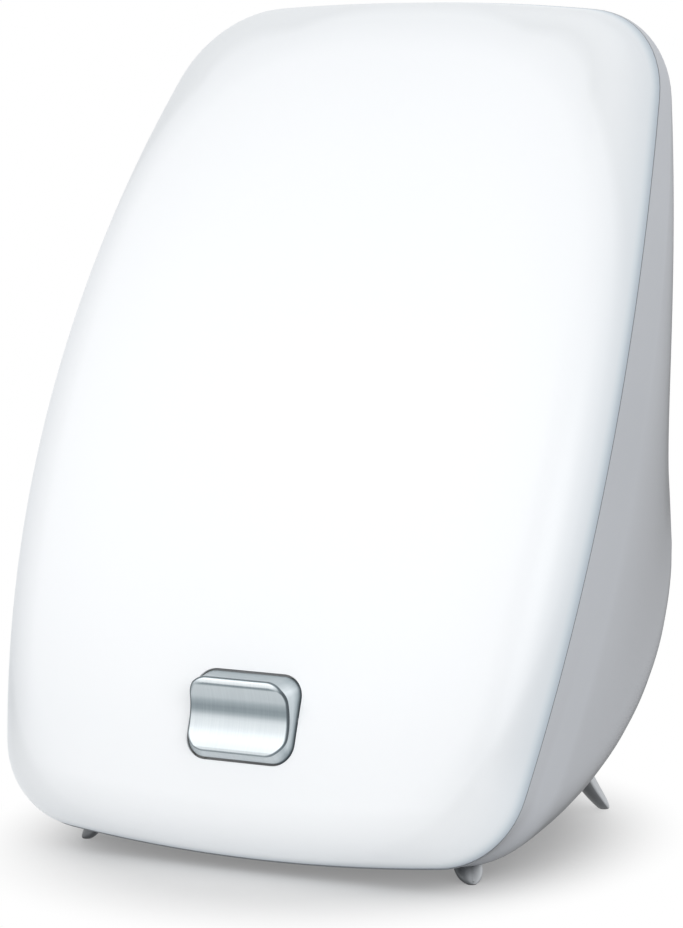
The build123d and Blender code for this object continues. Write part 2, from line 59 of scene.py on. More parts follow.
SLIGHT = 1e-6                     # turns smaller than this, in radians, are none
CRISP = 32.0                      # edges that turn by more than this, in degrees, stay crisp
Array = np.ndarray
Colour = tuple[float, float, float]
Triple = tuple[float, float, float]
Levels = tuple[tuple[float, ...], tuple[float, ...]]


# ---- sizes shared by the shells, in millimetres ---------------------------------------------
@dataclass(frozen=True)
class Outline:
    """Front-view outline: four arcs with rounded corners.

    The values are numbers, or arrays of one shape where the outline changes over a surface.
    """

    low_w: float | Array = 129.0
    low_z: float | Array = 5.85
    low_arch: float | Array = 9.4
    top_w: float | Array = 121.4
    top_z: float | Array = 407.0
    top_arch: float | Array = 7.0
    bulge: float | Array = 25.1
    low_r: float | Array = 43.4
    top_r: float | Array = 55.4

    def blend(self, other: "Outline", share: float | Array) -> "Outline":
        """Return the outline that lies the given share of the way to another one."""
        mine, theirs = vars(self), vars(other)
        return Outline(**{name: mine[name] + (theirs[name] - mine[name]) * share for name in mine})

    def inset(self, depth: float | Array) -> "Outline":
        """Return the outline drawn in by a depth on every side."""
        return replace(self, low_w=self.low_w - depth, low_z=self.low_z + depth, top_w=self.top_w - depth,
                       top_z=self.top_z - depth, low_r=self.low_r - depth, top_r=self.top_r - depth)


@dataclass(frozen=True)
class LampForm:
    """Driving sizes of the screen and the housing, in millimetres."""

    seam_y: float = -107.1
    seam_z: float = 5.85
    seam_r: float = 1010.0
    seam_lean: float = 16.0
    seam_gap: float = 0.8
    depth: float = 232.0
    screen_depth: float = 26.7
    screen_edge_r: float = 25.0
    wall: float = 2.5
    fan_depth: float = 226.2
    fan_z: float = 411.0
    fan_end_lean: float = 1.0
    back_round: float = 9.5
    belly_share: float = 1 / 6
    taper_power: float = 2.1
    seam: Outline = Outline()
    belly: Outline = Outline(low_z=4.45, low_arch=1.4)
    back: Outline = Outline(low_w=131.0, low_z=27.5, low_arch=3.0, top_w=98.0, top_z=402.6, top_arch=6.0,
                            bulge=3.0, low_r=110.0, top_r=38.0)

    @property
    def axis_y(self) -> float:
        """Return where the seam's axis lies along Y."""
        return self.seam_y + self.seam_r * math.cos(math.radians(self.seam_lean))

    @property
    def axis_z(self) -> float:
        """Return the height of the seam's axis."""
        return self.seam_z - self.seam_r * math.sin(math.radians(self.seam_lean))

    @property
    def back_y(self) -> float:
        """Return where the flat back lies along Y."""
        return self.seam_y + self.depth

    @property
    def front_r(self) -> float:
        """Return the radius of the screen's front surface about the seam's axis."""
        return self.seam_r + self.screen_depth

    def reach(self, points: Array) -> Array:
        """Return how far points lie from the seam's axis."""
        return np.hypot(points[..., 1] - self.axis_y, points[..., 2] - self.axis_z)

    def drum_y(self, z: Array, radius: float) -> Array:
        """Return Y on the front of a drum about the seam's axis: axis minus root(r2 - rise2)."""
        return self.axis_y - np.sqrt(radius ** 2 - (z - self.axis_z) ** 2)


FORM = LampForm()


# ---- curves and meshes ----------------------------------------------------------------------
def join(*parts: Array | float) -> Array:
    """Return coordinates side by side in a last axis."""
    return np.stack(np.broadcast_arrays(*parts), axis=-1)


def arc_r(half: float | Array, rise: float | Array) -> float | Array:
    """Return an arc's radius from half its chord and its rise: (half^2 + rise^2) / (2 * rise)."""
    return (half ** 2 + rise ** 2) / (2 * rise)


def halve(low: Array, high: Array, past: Callable[[Array], Array]) -> tuple[Array, Array]:
    """Close in by halving on the values where a test starts to hold.

    Args:
        low: Values where the test fails.
        high: Values where it holds.
        past: The test of an array of values.

    Returns:
        The values just below and just above.
    """
    for _ in range(HALVINGS):
        middle = (low + high) / 2
        over = past(middle)
        low, high = np.where(over, low, middle), np.where(over, middle, high)
    return low, high


def meet(c1: Array, r1: Array, c2: Array, r2: Array, turn: float) -> Array:
    """Return a point where two circles cross.

    Formula: from the first centre go a = (r1^2 - r2^2 + d^2) / 2d towards the second one, then
    root(r1^2 - a^2) square to that line.

    Args:
        c1: First centre, x and z in the last axis.
        r1: First radius.
        c2: Second centre.
        r2: Second radius.
        turn: +1 for the crossing to the left of the line of centres, -1 for the other.

    Returns:
        The crossing's x and z in the last axis.
    """
    line = c2 - c1
    d = np.linalg.norm(line, axis=-1)
    a = (r1 ** 2 - r2 ** 2 + d ** 2) / (2 * d)
    h = np.sqrt(np.maximum(r1 ** 2 - a ** 2, 0))
    unit = line / d[..., None]
    across = join(-unit[..., 1], unit[..., 0])
    return c1 + unit * a[..., None] + across * (turn * h)[..., None]


def angle(a: Array, b: Array) -> Array:
    """Return the direction from a to b, in radians."""
    return np.arctan2(b[..., 1] - a[..., 1], b[..., 0] - a[..., 0])


STEPS = (14, 14, 46, 14, 14)      # points along half the outline: bottom, corner, side, corner, top
HALF = sum(STEPS) + 1
COLUMNS = 2 * (HALF - 1)


def half_columns() -> Array:
    """Return, for every column round the whole outline, the matching column of the right half."""
    return np.concatenate([np.arange(HALF), np.arange(HALF - 2, 0, -1)])


def column_signs() -> Array:
    """Return +1 for columns on the right half and -1 on the left."""
    return np.concatenate([np.ones(HALF), -np.ones(HALF - 2)])


def walk(sizes: Outline, rows: int) -> tuple[Array, Array, Array, Array]:
    """Walk round the outline once for every row of a surface.

    Formula: each stretch is an arc, so a point is centre + radius * (cos t, sin t) with t running
    evenly between the tangent points.  The two corner circles lie inside their neighbours, at a
    distance of R - r from each centre.

    Args:
        sizes: Outline whose values are numbers or arrays of rows by columns.
        rows: Number of rows.

    Returns:
        x, z and the outward normal's x and z, each of rows by columns.
    """
    shape = (rows, COLUMNS)
    s = {name: np.broadcast_to(np.asarray(value, float), shape) for name, value in vars(sizes).items()}
    zero = np.zeros(shape)
    low = join(s["low_w"], s["low_z"] + s["low_arch"])
    top = join(s["top_w"], s["top_z"] - s["top_arch"])
    bottom_r, crest_r = arc_r(s["low_w"], s["low_arch"]), arc_r(s["top_w"], s["top_arch"])
    chord = top - low
    length = np.linalg.norm(chord, axis=-1)
    outward = join(chord[..., 1], -chord[..., 0]) / length[..., None]
    side_r = arc_r(length / 2, s["bulge"])
    side_c = (low + top) / 2 - outward * (side_r - s["bulge"])[..., None]
    bottom_c = join(0.0, s["low_z"] + bottom_r)
    crest_c = join(0.0, s["top_z"] - crest_r)
    low_c = meet(bottom_c, bottom_r - s["low_r"], side_c, side_r - s["low_r"], 1.0)
    top_c = meet(crest_c, crest_r - s["top_r"], side_c, side_r - s["top_r"], -1.0)
    t1, t2 = angle(bottom_c, low_c), angle(side_c, low_c)
    t3, t4 = angle(side_c, top_c), angle(crest_c, top_c)
    right = zero + math.pi / 2
    arcs = [(bottom_c, bottom_r, -right, t1), (low_c, s["low_r"], t1, t2), (side_c, side_r, t2, t3),
            (top_c, s["top_r"], t3, t4), (crest_c, crest_r, t4, right)]
    stretch = np.append(np.repeat(np.arange(len(arcs)), STEPS), len(arcs) - 1)[half_columns()]
    share = np.append(np.concatenate([np.arange(n) / n for n in STEPS]), 1.0)[half_columns()]
    x, z, turn = zero.copy(), zero.copy(), zero.copy()
    for i, (centre, radius, start, stop) in enumerate(arcs):
        on = stretch == i
        t = start[:, on] + (stop[:, on] - start[:, on]) * share[on]
        turn[:, on] = t
        x[:, on] = centre[:, on, 0] + radius[:, on] * np.cos(t)
        z[:, on] = centre[:, on, 1] + radius[:, on] * np.sin(t)
    sign = column_signs()
    return x * sign, z, np.cos(turn) * sign, np.sin(turn)


def grid_faces(rows: int, columns: int, wrap_rows: bool, flip: bool) -> Array:
    """Return the quads of a grid whose columns close on themselves.

    Args:
        rows: Number of rows of vertices.
        columns: Number of columns of vertices.
        wrap_rows: Whether the last row joins the first one.
        flip: Whether the faces are turned over.

    Returns:
        Vertex numbers, four to a face.
    """
    r = np.arange(rows if wrap_rows else rows - 1)[:, None]
    c = np.arange(columns)[None, :]
    r2, c2 = (r + 1) % rows, (c + 1) % columns
    quads = join(r * columns + c, r * columns + c2, r2 * columns + c2, r2 * columns + c)
    return (quads[..., ::-1] if flip else quads).reshape(-1, 4)


def pole_faces(ring: Array, pole: int, flip: bool) -> list[list[int]]:
    """Return the triangles that close a ring of vertices onto a pole."""
    pairs = (np.roll(ring, -1), ring) if flip else (ring, np.roll(ring, -1))
    return join(*pairs, pole).tolist()


def make_piece(name: str, points: Array, faces: Sequence, sharp: float = CRISP) -> bpy.types.Object:
    """Make a smooth-shaded piece whose place is in its mesh.

    Args:
        name: The piece's name.
        points: Vertices in millimetres, one to a row.
        faces: Vertex numbers of every face.
        sharp: Edges that turn by more than this many degrees stay crisp.

    Returns:
        The new object, in the scene.
    """
    mesh = bpy.data.meshes.new(name)
    mesh.from_pydata((points * MM).tolist(), [], [list(map(int, f)) for f in faces])
    mesh.validate()
    return shade_piece(name, mesh, sharp)


def shade_piece(name: str, mesh: bpy.types.Mesh, sharp: float) -> bpy.types.Object:
    """Put a mesh in the scene, smooth but for its crisp edges.

    Args:
        name: The piece's name.
        mesh: Its mesh.
        sharp: Edges that turn by more than this many degrees stay crisp.

    Returns:
        The new object.
    """
    mesh.polygons.foreach_set("use_smooth", np.ones(len(mesh.polygons), bool))
    mesh.set_sharp_from_angle(angle=math.radians(sharp))
    piece = bpy.data.objects.new(name, mesh)
    bpy.context.scene.collection.objects.link(piece)
    return piece


def store(mesh: bpy.types.Mesh, name: str, domain: str, values: Array) -> None:
    """Store a number on each point or each face corner of a mesh, for a finish to read."""
    share = mesh.attributes.new(name, "FLOAT", domain)
    share.data.foreach_set("value", values.ravel())


def close_seam(mesh: bpy.types.Mesh) -> None:
    """Join the points that lie on each other, where a last ring folds onto a line.

    Args:
        mesh: The mesh, which is changed.
    """
    shell = bmesh.new()
    shell.from_mesh(mesh)
    bmesh.ops.remove_doubles(shell, verts=shell.verts, dist=TOUCHING)
    shell.to_mesh(mesh)
    shell.free()


def prisms(loops: Array, start: float, stop: float) -> tuple[Array, list[list[int]]]:
    """Draw closed loops out along Y into solid prisms.

    Args:
        loops: Loops by points by (x, z), each loop running anticlockwise seen from -Y.
        start: Y of one end.
        stop: Y of the other end, further back.

    Returns:
        The vertices and the faces of all prisms.
    """
    count, points = loops.shape[:2]
    ends = [join(loops[..., 0], y, loops[..., 1]) for y in (start, stop)]
    vertices = np.stack(ends, axis=1).reshape(-1, 3)
    faces = []
    for i in range(count):
        front = np.arange(points) + 2 * i * points
        back = front + points
        faces += [front.tolist(), back[::-1].tolist()]
        faces += join(front, back, np.roll(back, -1), np.roll(front, -1)).tolist()
    return vertices, faces


def cut(piece: bpy.types.Object, tool: bpy.types.Object) -> bpy.types.Object:
    """Take one closed piece away from another, and keep only the result.

    Args:
        piece: The piece that is cut.
        tool: The piece that is taken away; it is deleted.

    Returns:
        The cut piece, under the first one's name.
    """
    knife = piece.modifiers.new("cut", "BOOLEAN")
    knife.object, knife.operation, knife.solver = tool, "DIFFERENCE", "EXACT"
    graph = bpy.context.evaluated_depsgraph_get()
    mesh = bpy.data.meshes.new_from_object(piece.evaluated_get(graph))
    name = piece.name
    for old in (piece, tool):
        bpy.data.objects.remove(old)
    mesh.name = name
    return shade_piece(name, mesh, CRISP)


# ---- shader maths ---------------------------------------------------------------------------
class Wire:
    """A shader socket that can be added, multiplied and so on, like a number."""

    def __init__(self, graph: "Graph", socket: bpy.types.NodeSocket) -> None:
        """Wrap one output socket of a graph."""
        self.graph, self.socket = graph, socket

    def _maths(self, operation: str, a: "Wire | float", b: "Wire | float") -> "Wire":
        """Return the result of a Math node on two values."""
        return self.graph.add("ShaderNodeMath", {"operation": operation}, {0: a, 1: b})

    def __add__(self, other: "Wire | float") -> "Wire":
        """Return self + other."""
        return self._maths("ADD", self, other)

    __radd__ = __add__

    def __sub__(self, other: "Wire | float") -> "Wire":
        """Return self - other."""
        return self._maths("SUBTRACT", self, other)

    def __rsub__(self, other: "Wire | float") -> "Wire":
        """Return other - self."""
        return self._maths("SUBTRACT", other, self)

    def __mul__(self, other: "Wire | float") -> "Wire":
        """Return self * other."""
        return self._maths("MULTIPLY", self, other)

    def __truediv__(self, other: "Wire | float") -> "Wire":
        """Return self / other."""
        return self._maths("DIVIDE", self, other)

    def __abs__(self) -> "Wire":
        """Return the value without its sign."""
        return self.graph.add("ShaderNodeMath", {"operation": "ABSOLUTE"}, {0: self})

    def clamp(self) -> "Wire":
        """Return the value kept between 0 and 1."""
        return self.graph.add("ShaderNodeClamp", {}, {"Value": self})


class Graph:
    """A node tree, with one method that makes any node."""

    MIX_SHARE: ClassVar[int] = 0      # a Mix node's sockets for its share, its two colours and the result
    MIX_FIRST: ClassVar[int] = 6
    MIX_SECOND: ClassVar[int] = 7
    MIX_RESULT: ClassVar[int] = 2

    def __init__(self, tree: bpy.types.NodeTree) -> None:
        """Start from an empty tree."""
        self.tree = tree
        self.tree.nodes.clear()

    def plug(self, node: bpy.types.Node, values: dict) -> None:
        """Set a node's sockets to numbers or colours, or link them to wires.

        Args:
            node: The node.
            values: Numbers, colours or wires, by the name or number of the socket.
        """
        for key, value in values.items():
            socket = node.inputs[key]
            if isinstance(value, Wire):
                self.tree.links.new(value.socket, socket)
            elif isinstance(value, tuple) and len(value) == 3 and socket.type == "RGBA":
                socket.default_value = (*value, 1.0)
            else:
                socket.default_value = value

    def add(self, kind: str, settings: dict, values: dict, out: int | str = 0) -> Wire:
        """Make a node.

        Args:
            kind: The node's type.
            settings: Its settings.
            values: Numbers, colours or wires for its sockets.
            out: Which output is returned.

        Returns:
            The wire of that output.
        """
        node = self.tree.nodes.new(kind)
        for key, value in settings.items():
            setattr(node, key, value)
        self.plug(node, values)
        return Wire(self, node.outputs[out])

    def ramp(self, value: Wire, stops: Sequence[tuple[float, Colour]], ease: str = "B_SPLINE") -> Wire:
        """Make a colour that follows a value through stops.

        Args:
            value: The value, from 0 to 1.
            stops: Positions and their colours, in rising order.
            ease: How the ramp runs from stop to stop.

        Returns:
            The colour's wire.
        """
        tint = self.add("ShaderNodeValToRGB", {}, {"Fac": value}, "Color")
        ramp = tint.socket.node.color_ramp
        ramp.interpolation = ease
        while len(ramp.elements) < len(stops):
            ramp.elements.new(1.0)
        for element, (position, colour) in zip(ramp.elements, stops):
            element.position, element.color = position, (*colour, 1.0)
        return tint

    def mix(self, share: "Wire | float", a: "Wire | Colour", b: "Wire | Colour") -> Wire:
        """Return two colours mixed."""
        return self.add("ShaderNodeMix", {"data_type": "RGBA"},
                        {self.MIX_SHARE: share, self.MIX_FIRST: a, self.MIX_SECOND: b}, self.MIX_RESULT)

    def place(self) -> Wire:
        """Return the object's own coordinates, in metres."""
        return self.add("ShaderNodeTexCoord", {}, {}, "Object")

    def axis(self, name: str, vector: Wire) -> Wire:
        """Return one coordinate of a vector, X, Y or Z."""
        return self.add("ShaderNodeSeparateXYZ", {}, {"Vector": vector}, name)

    def attribute(self, name: str) -> Wire:
        """Return a number stored on the mesh."""
        return self.add("ShaderNodeAttribute", {"attribute_name": name}, {}, "Fac")

    def noise(self, scale: float, detail: float = 3.0, stretch: Triple | None = None) -> Wire:
        """Make noise on the object's coordinates.

        Args:
            scale: Patches to a metre.
            detail: How many finer layers it has.
            stretch: Factors on the coordinates, small where the noise is drawn out.

        Returns:
            The noise's wire, from 0 to 1.
        """
        where = self.place()
        if stretch:
            where = self.add("ShaderNodeMapping", {}, {"Vector": where, "Scale": stretch}, "Vector")
        return self.add("ShaderNodeTexNoise", {}, {"Vector": where, "Scale": scale, "Detail": detail})

    def bump(self, height: Wire, strength: float, distance: float) -> Wire:
        """Return a normal that follows a height, with its distance in metres."""
        sockets = {"Height": height, "Strength": strength, "Distance": distance}
        return self.add("ShaderNodeBump", {}, sockets, "Normal")

    def seen(self) -> Wire:
        """Return 1 where the eye, a reflection or a view through glass looks, and 0 for lighting rays."""
        rays = ("Is Camera Ray", "Is Glossy Ray", "Is Transmission Ray")
        return sum(self.add("ShaderNodeLightPath", {}, {}, ray) for ray in rays).clamp()

    def blend(self, share: Wire, first: Wire, second: Wire) -> Wire:
        """Return two shaders mixed."""
        return self.add("ShaderNodeMixShader", {}, {0: share, 1: first, 2: second})

    def end(self, kind: str, shader: Wire) -> None:
        """Make the tree's output node and link a shader to it."""
        self.plug(self.tree.nodes.new(kind), {"Surface": shader})


class Paint(Graph):
    """A material's node tree, with its surface shader."""

    def __init__(self, name: str) -> None:
        """Start a material with nothing but its surface shader.

        Args:
            name: The material's name.
        """
        self.material = bpy.data.materials.new(name)
        self.material.use_nodes = True
        super().__init__(self.material.node_tree)
        self.shader = self.add("ShaderNodeBsdfPrincipled", {}, {})

    def coat(self, **values: object) -> None:
        """Set the surface shader's sockets, named with underscores for spaces."""
        self.plug(self.shader.socket.node, {key.replace("_", " "): value for key, value in values.items()})

    def finish(self, **values: object) -> bpy.types.Material:
        """Set the surface shader's sockets and link it to the output.

        Args:
            values: The sockets' values, named with underscores for spaces.

        Returns:
            The material.
        """
        self.coat(**values)
        self.end("ShaderNodeOutputMaterial", self.shader)
        return self.material


# ---- finishes -------------------------------------------------------------------------------
CLOUDS = (14.0, 4.0)              # scale and detail of the slow clouding of moulded plastic
BLACK, WHITE = (0.0, 0.0, 0.0), (1.0, 1.0, 1.0)


@dataclass(frozen=True)
class Moulding:
    """Moulded plastic with a fine spark-eroded grain and a slight cloudiness."""

    colour: Colour
    roughness: float = 0.45
    grain: float = 900.0
    depth: float = 0.00004
    coat: float = 0.0
    shade: tuple[float, float] = (0.93, 1.05)
    unevenness: float = 0.12

    def make(self, name: str) -> bpy.types.Material:
        """Make the material: noise clouds shift the colour, finer noise roughens it.

        Args:
            name: The material's name.

        Returns:
            The material.
        """
        paint = Paint(name)
        cloud, fine = paint.noise(*CLOUDS), paint.noise(self.grain, 2.0)
        dark, light = (tuple(min(1.0, c * share) for c in self.colour) for share in self.shade)
        return paint.finish(Base_Color=paint.ramp(cloud, [(0.3, dark), (0.7, light)]),
                            Roughness=self.roughness + (fine - 0.5) * self.unevenness,
                            Coat_Weight=self.coat, Coat_Roughness=0.2,
                            Normal=paint.bump(fine, 0.5, self.depth))


@dataclass(frozen=True)
class Shell:
    """The housing's moulded plastic, with painted shade where the moulding rounds to the back and under."""

    colour: Colour = (0.56, 0.582, 0.62)
    # painted shade: the darkest colour along where the housing turns away at its outline, and a lighter
    # painted shade over its flat back
    edge: Colour = (0.12, 0.127, 0.14)
    back: Colour = (0.34, 0.355, 0.38)
    clouded: Colour = (0.30, 0.31, 0.33)
    clouding: float = 0.12
    roughness: float = 0.5
    unevenness: float = 0.12
    mirror: float = 0.35
    grain: float = 900.0

    def make(self, name: str) -> bpy.types.Material:
        """Make the material: the stored turn picks the colour, painted shade where the surface turns to the
        back and under; noise clouds and roughens it.

        Args:
            name: The material's name.

        Returns:
            The material.
        """
        paint = Paint(name)
        cloud, fine = paint.noise(*CLOUDS), paint.noise(self.grain, 2.0)
        # painted shade: the colour darkens through these stops as the surface turns back and under
        tint = paint.ramp(paint.attribute("turned"),
                          [(0.04, self.colour), (0.14, (0.475, 0.493, 0.525)), (0.20, (0.42, 0.436, 0.465)),
                           (0.26, (0.34, 0.354, 0.378)), (0.30, (0.22, 0.23, 0.245)), (0.40, self.edge),
                           (0.55, self.edge), (0.85, self.back)], "LINEAR")
        return paint.finish(Base_Color=paint.mix(cloud * self.clouding, tint, self.clouded),
                            Roughness=self.roughness + (fine - 0.5) * self.unevenness,
                            Specular_IOR_Level=self.mirror, Normal=paint.bump(fine, 0.5, 0.00004))


@dataclass(frozen=True)
class Metal:
    """Metal, brushed along one axis or evenly satin."""

    colour: Colour
    roughness: float = 0.28
    stretch: Triple = (1.0, 1.0, 1.0)
    grain: float = 500.0
    depth: float = 0.00002
    dark_share: float = 0.86

    def make(self, name: str) -> bpy.types.Material:
        """Make the material: drawn-out noise makes the brushing, a cloud dulls it in places.

        Args:
            name: The material's name.

        Returns:
            The material.
        """
        paint = Paint(name)
        brushed = paint.noise(self.grain, 3.0, self.stretch)
        cloud = paint.noise(22.0, 2.0)
        dark = tuple(c * self.dark_share for c in self.colour)
        return paint.finish(Base_Color=paint.ramp(brushed, [(0.3, dark), (0.7, self.colour)]), Metallic=1.0,
                            Roughness=self.roughness + (brushed - 0.5) * 0.18 + (cloud - 0.5) * 0.08,
                            Normal=paint.bump(brushed, 0.35, self.depth))


@dataclass(frozen=True)
class Casting:
    """Satin die casting with painted light and shade: bright on the sides that face outwards, painted dark
    as shade on the front and below.
    """

    # painted light on the sides that face outwards, painted shade on the front and underside
    bright: Colour = (0.50, 0.52, 0.54)
    shaded: Colour = (0.16, 0.168, 0.176)
    roughness: float = 0.42
    unevenness: float = 0.12
    bright_from: float = 2.3 / 3.6
    bright_rise: float = 3.6

    def make(self, name: str) -> bpy.types.Material:
        """Make the material: the way a surface faces picks between painted light and painted shade, noise
        dulls the polish.

        Args:
            name: The material's name.

        Returns:
            The material.
        """
        paint = Paint(name)
        outwards = abs(paint.axis("X", paint.add("ShaderNodeNewGeometry", {}, {}, "Normal")))
        fine = paint.noise(300.0, 3.0)
        share = ((outwards - self.bright_from) * self.bright_rise + (fine - 0.5) * 0.1).clamp()
        return paint.finish(Base_Color=paint.mix(share, self.shaded, self.bright), Metallic=1.0,
                            Roughness=self.roughness + (fine - 0.5) * self.unevenness,
                            Normal=paint.bump(fine, 0.3, 0.00001))


@dataclass(frozen=True)
class Opal:
    """Back-lit opal acrylic glowing brightest over the lamps, with painted shade on the rim and round the
    key's opening, a painted highlight and painted bounce light.
    """

    glow: float = 0.225
    roughness: float = 0.36
    unevenness: float = 0.06
    # painted bounce light: below this height the glow is kept full out to the rolled edge
    low: float = 0.07
    low_rise: float = 2.2
    # painted shade: near-black colour for the inside of the screen round the key's opening
    hidden: Colour = (0.03, 0.035, 0.04)

    def make(self, name: str) -> bpy.types.Material:
        """Make the material: the lift off the seam sets the colour, painted shade towards the seam and a
        painted highlight band on the roll; the way in from the edge sets the glow.

        Low on the screen, below the height given by low, the glow stays full out to the rolled edge: painted
        light that stands for light bounced off the table.

        Args:
            name: The material's name.

        Returns:
            The material.
        """
        paint = Paint(name)
        lift, inner, lip = (paint.attribute(share) for share in ("lift", "inner", "lip"))
        # painted shade: the colour darkens and turns bluer towards the seam, with a painted highlight band
        # on the roll
        body = paint.ramp(lift, [(0.0, (0.38, 0.45, 0.52)), (0.1, (0.46, 0.53, 0.60)),
                                 (0.22, (0.62, 0.69, 0.74)), (0.36, (0.75, 0.79, 0.83)),
                                 (1.0, (0.74, 0.755, 0.77))])
        glow = paint.ramp(inner, [(0.0, (0.14, 0.16, 0.17)), (0.03, (0.48, 0.50, 0.52)),
                                  (0.12, (0.84, 0.85, 0.87)), (0.4, WHITE), (1.0, WHITE)])
        # painted bounce light: extra glow low on the screen stands for light bounced off the table
        height = paint.axis("Z", paint.place())
        base = (1.0 - height / self.low).clamp() * (lift * self.low_rise).clamp()
        fine = paint.noise(1100.0, 2.0)
        # painted shade: round the key's opening the inside is painted near black and left unlit
        return paint.finish(Base_Color=paint.mix(lip, body, self.hidden),
                            Roughness=self.roughness + (fine - 0.5) * self.unevenness,
                            Emission_Color=paint.mix(lip, paint.mix(base, glow, WHITE), BLACK),
                            Emission_Strength=self.glow, Normal=paint.bump(fine, 0.3, 0.00001))


@dataclass(frozen=True)
class Plating:
    """Satin plating on the key: its colour is stored painted light and shade following its form, with fine
    brushing up the face.
    """

    roughness: float = 0.34
    unevenness: float = 0.15
    metallic: float = 0.25
    grain: float = 1500.0
    stretch: Triple = (1.0, 0.03, 0.03)
    streaks: float = 0.07

    def make(self, name: str) -> bpy.types.Material:
        """Make the material: the stored painted light and shade picks the colour, drawn-out noise streaks
        it.

        Args:
            name: The material's name.

        Returns:
            The material.
        """
        paint = Paint(name)
        brushed = paint.noise(self.grain, 3.0, self.stretch)
        # painted reflections, highlights and shade: the stored value runs from near black to near white
        tint = paint.ramp(paint.attribute("tone") + (brushed - 0.5) * self.streaks,
                          [(0.0, (0.006, 0.008, 0.009)), (0.3, (0.06, 0.075, 0.085)),
                           (0.5, (0.19, 0.235, 0.26)), (0.65, (0.37, 0.43, 0.46)), (0.8, (0.57, 0.63, 0.66)),
                           (0.95, (0.77, 0.83, 0.86)), (1.0, (0.88, 0.93, 0.95))], "LINEAR")
        return paint.finish(Base_Color=tint, Metallic=self.metallic,
                            Roughness=self.roughness + (brushed - 0.5) * self.unevenness,
                            Normal=paint.bump(brushed, 0.25, 0.000008))


@dataclass(frozen=True)
class Glass:
    """Phosphor-coated tube: soft white, darker near the filaments, under clear glass."""

    colour: Colour = (0.93, 0.95, 0.97)
    filament: Colour = (0.72, 0.72, 0.70)
    powdered: Colour = (0.8, 0.84, 0.9)
    powder: float = 0.08
    glow: float = 0.15
    height_share: float = 2.5

    def make(self, name: str) -> bpy.types.Material:
        """Make the material: a gradient up the tube and a fine powder grain.

        Args:
            name: The material's name.

        Returns:
            The material.
        """
        paint = Paint(name)
        height = paint.axis("Z", paint.place())
        tint = paint.ramp(height * self.height_share, [(0.1, self.filament), (0.3, self.colour),
                                                       (1.0, self.colour)])
        return paint.finish(Base_Color=paint.mix(paint.noise(700.0, 3.0) * self.powder, tint, self.powdered),
                            Roughness=0.25, Coat_Weight=0.8, Coat_Roughness=0.05,
                            Emission_Color=(0.9, 0.95, 1.0), Emission_Strength=self.glow)


@dataclass(frozen=True)
class Board:
    """Glass laminate with a green mask, woven grain and a scatter of solder."""

    colour: Colour = (0.03, 0.16, 0.07)
    woven: Colour = (0.05, 0.24, 0.11)
    solder: Colour = (0.7, 0.71, 0.72)
    spot_size: float = 0.22
    spot_edge: float = 12.0

    def make(self, name: str) -> bpy.types.Material:
        """Make the material: a cell pattern lays solder spots on the mask.

        Args:
            name: The material's name.

        Returns:
            The material.
        """
        paint = Paint(name)
        cells = paint.add("ShaderNodeTexVoronoi", {}, {"Vector": paint.place(), "Scale": 260.0}, "Distance")
        spot = ((self.spot_size - cells) * self.spot_edge).clamp()
        weave = paint.noise(1200.0, 2.0, (1.0, 0.3, 1.0))
        mask = paint.mix(weave * 0.3, self.colour, self.woven)
        return paint.finish(Base_Color=paint.mix(spot, mask, self.solder), Metallic=spot, Roughness=0.35,
                            Normal=paint.bump(weave, 0.3, 0.00003))


class Finish(Enum):
    """The finish of each material slot."""

    HOUSING_GREY = Shell()
    # painted shade: the locating ring is made near black so that the seam gap reads dark
    LOCATING_RING_CLEAR = Moulding((0.05, 0.055, 0.06), 0.35)
    PAD_RUBBER = Moulding((0.03, 0.03, 0.032), 0.75, 500.0, 0.0001)
    LAMP_PLASTIC = Moulding((0.80, 0.80, 0.78), 0.40)
    REFLECTOR_WHITE = Moulding((0.86, 0.86, 0.86), 0.22, 300.0, 0.00003, 0.5)
    BLACK_PLASTIC = Moulding((0.022, 0.022, 0.024), 0.42)
    PLUNGER_RED = Moulding((0.42, 0.03, 0.025), 0.35)
    FOOT_SILVER = Casting()
    ZINC_STEEL = Metal((0.64, 0.65, 0.66), 0.34, (1.0, 1.0, 1.0), 800.0)
    SPRING_STEEL = Metal((0.62, 0.62, 0.63), 0.24, (0.1, 1.0, 1.0), 900.0)
    BALLAST_STEEL = Metal((0.66, 0.67, 0.68), 0.42, (1.0, 1.0, 1.0), 60.0, 0.00001)
    CONTACT_BRASS = Metal((0.78, 0.66, 0.40), 0.26, (1.0, 0.1, 1.0), 900.0)
    KEY_METAL = Plating()
    OPAL_SCREEN = Opal()
    TUBE_GLASS = Glass()
    BOARD_GREEN = Board()


class Palette:
    """Makes each finish's material once, when a piece first asks for it."""

    def __init__(self) -> None:
        """Start with nothing made."""
        self._made: dict[str, bpy.types.Material] = {}

    def material(self, slot: str) -> bpy.types.Material:
        """Return the material of a slot, made when it is first asked for."""
        made = self._made.get(slot) or Finish[slot.upper()].value.make(slot)
        return self._made.setdefault(slot, made)

    def dress(self, piece: bpy.types.Object, slot: str) -> None:
        """Give a piece one finish all over."""
        piece.data.materials.clear()
        piece.data.materials.append(self.material(slot))


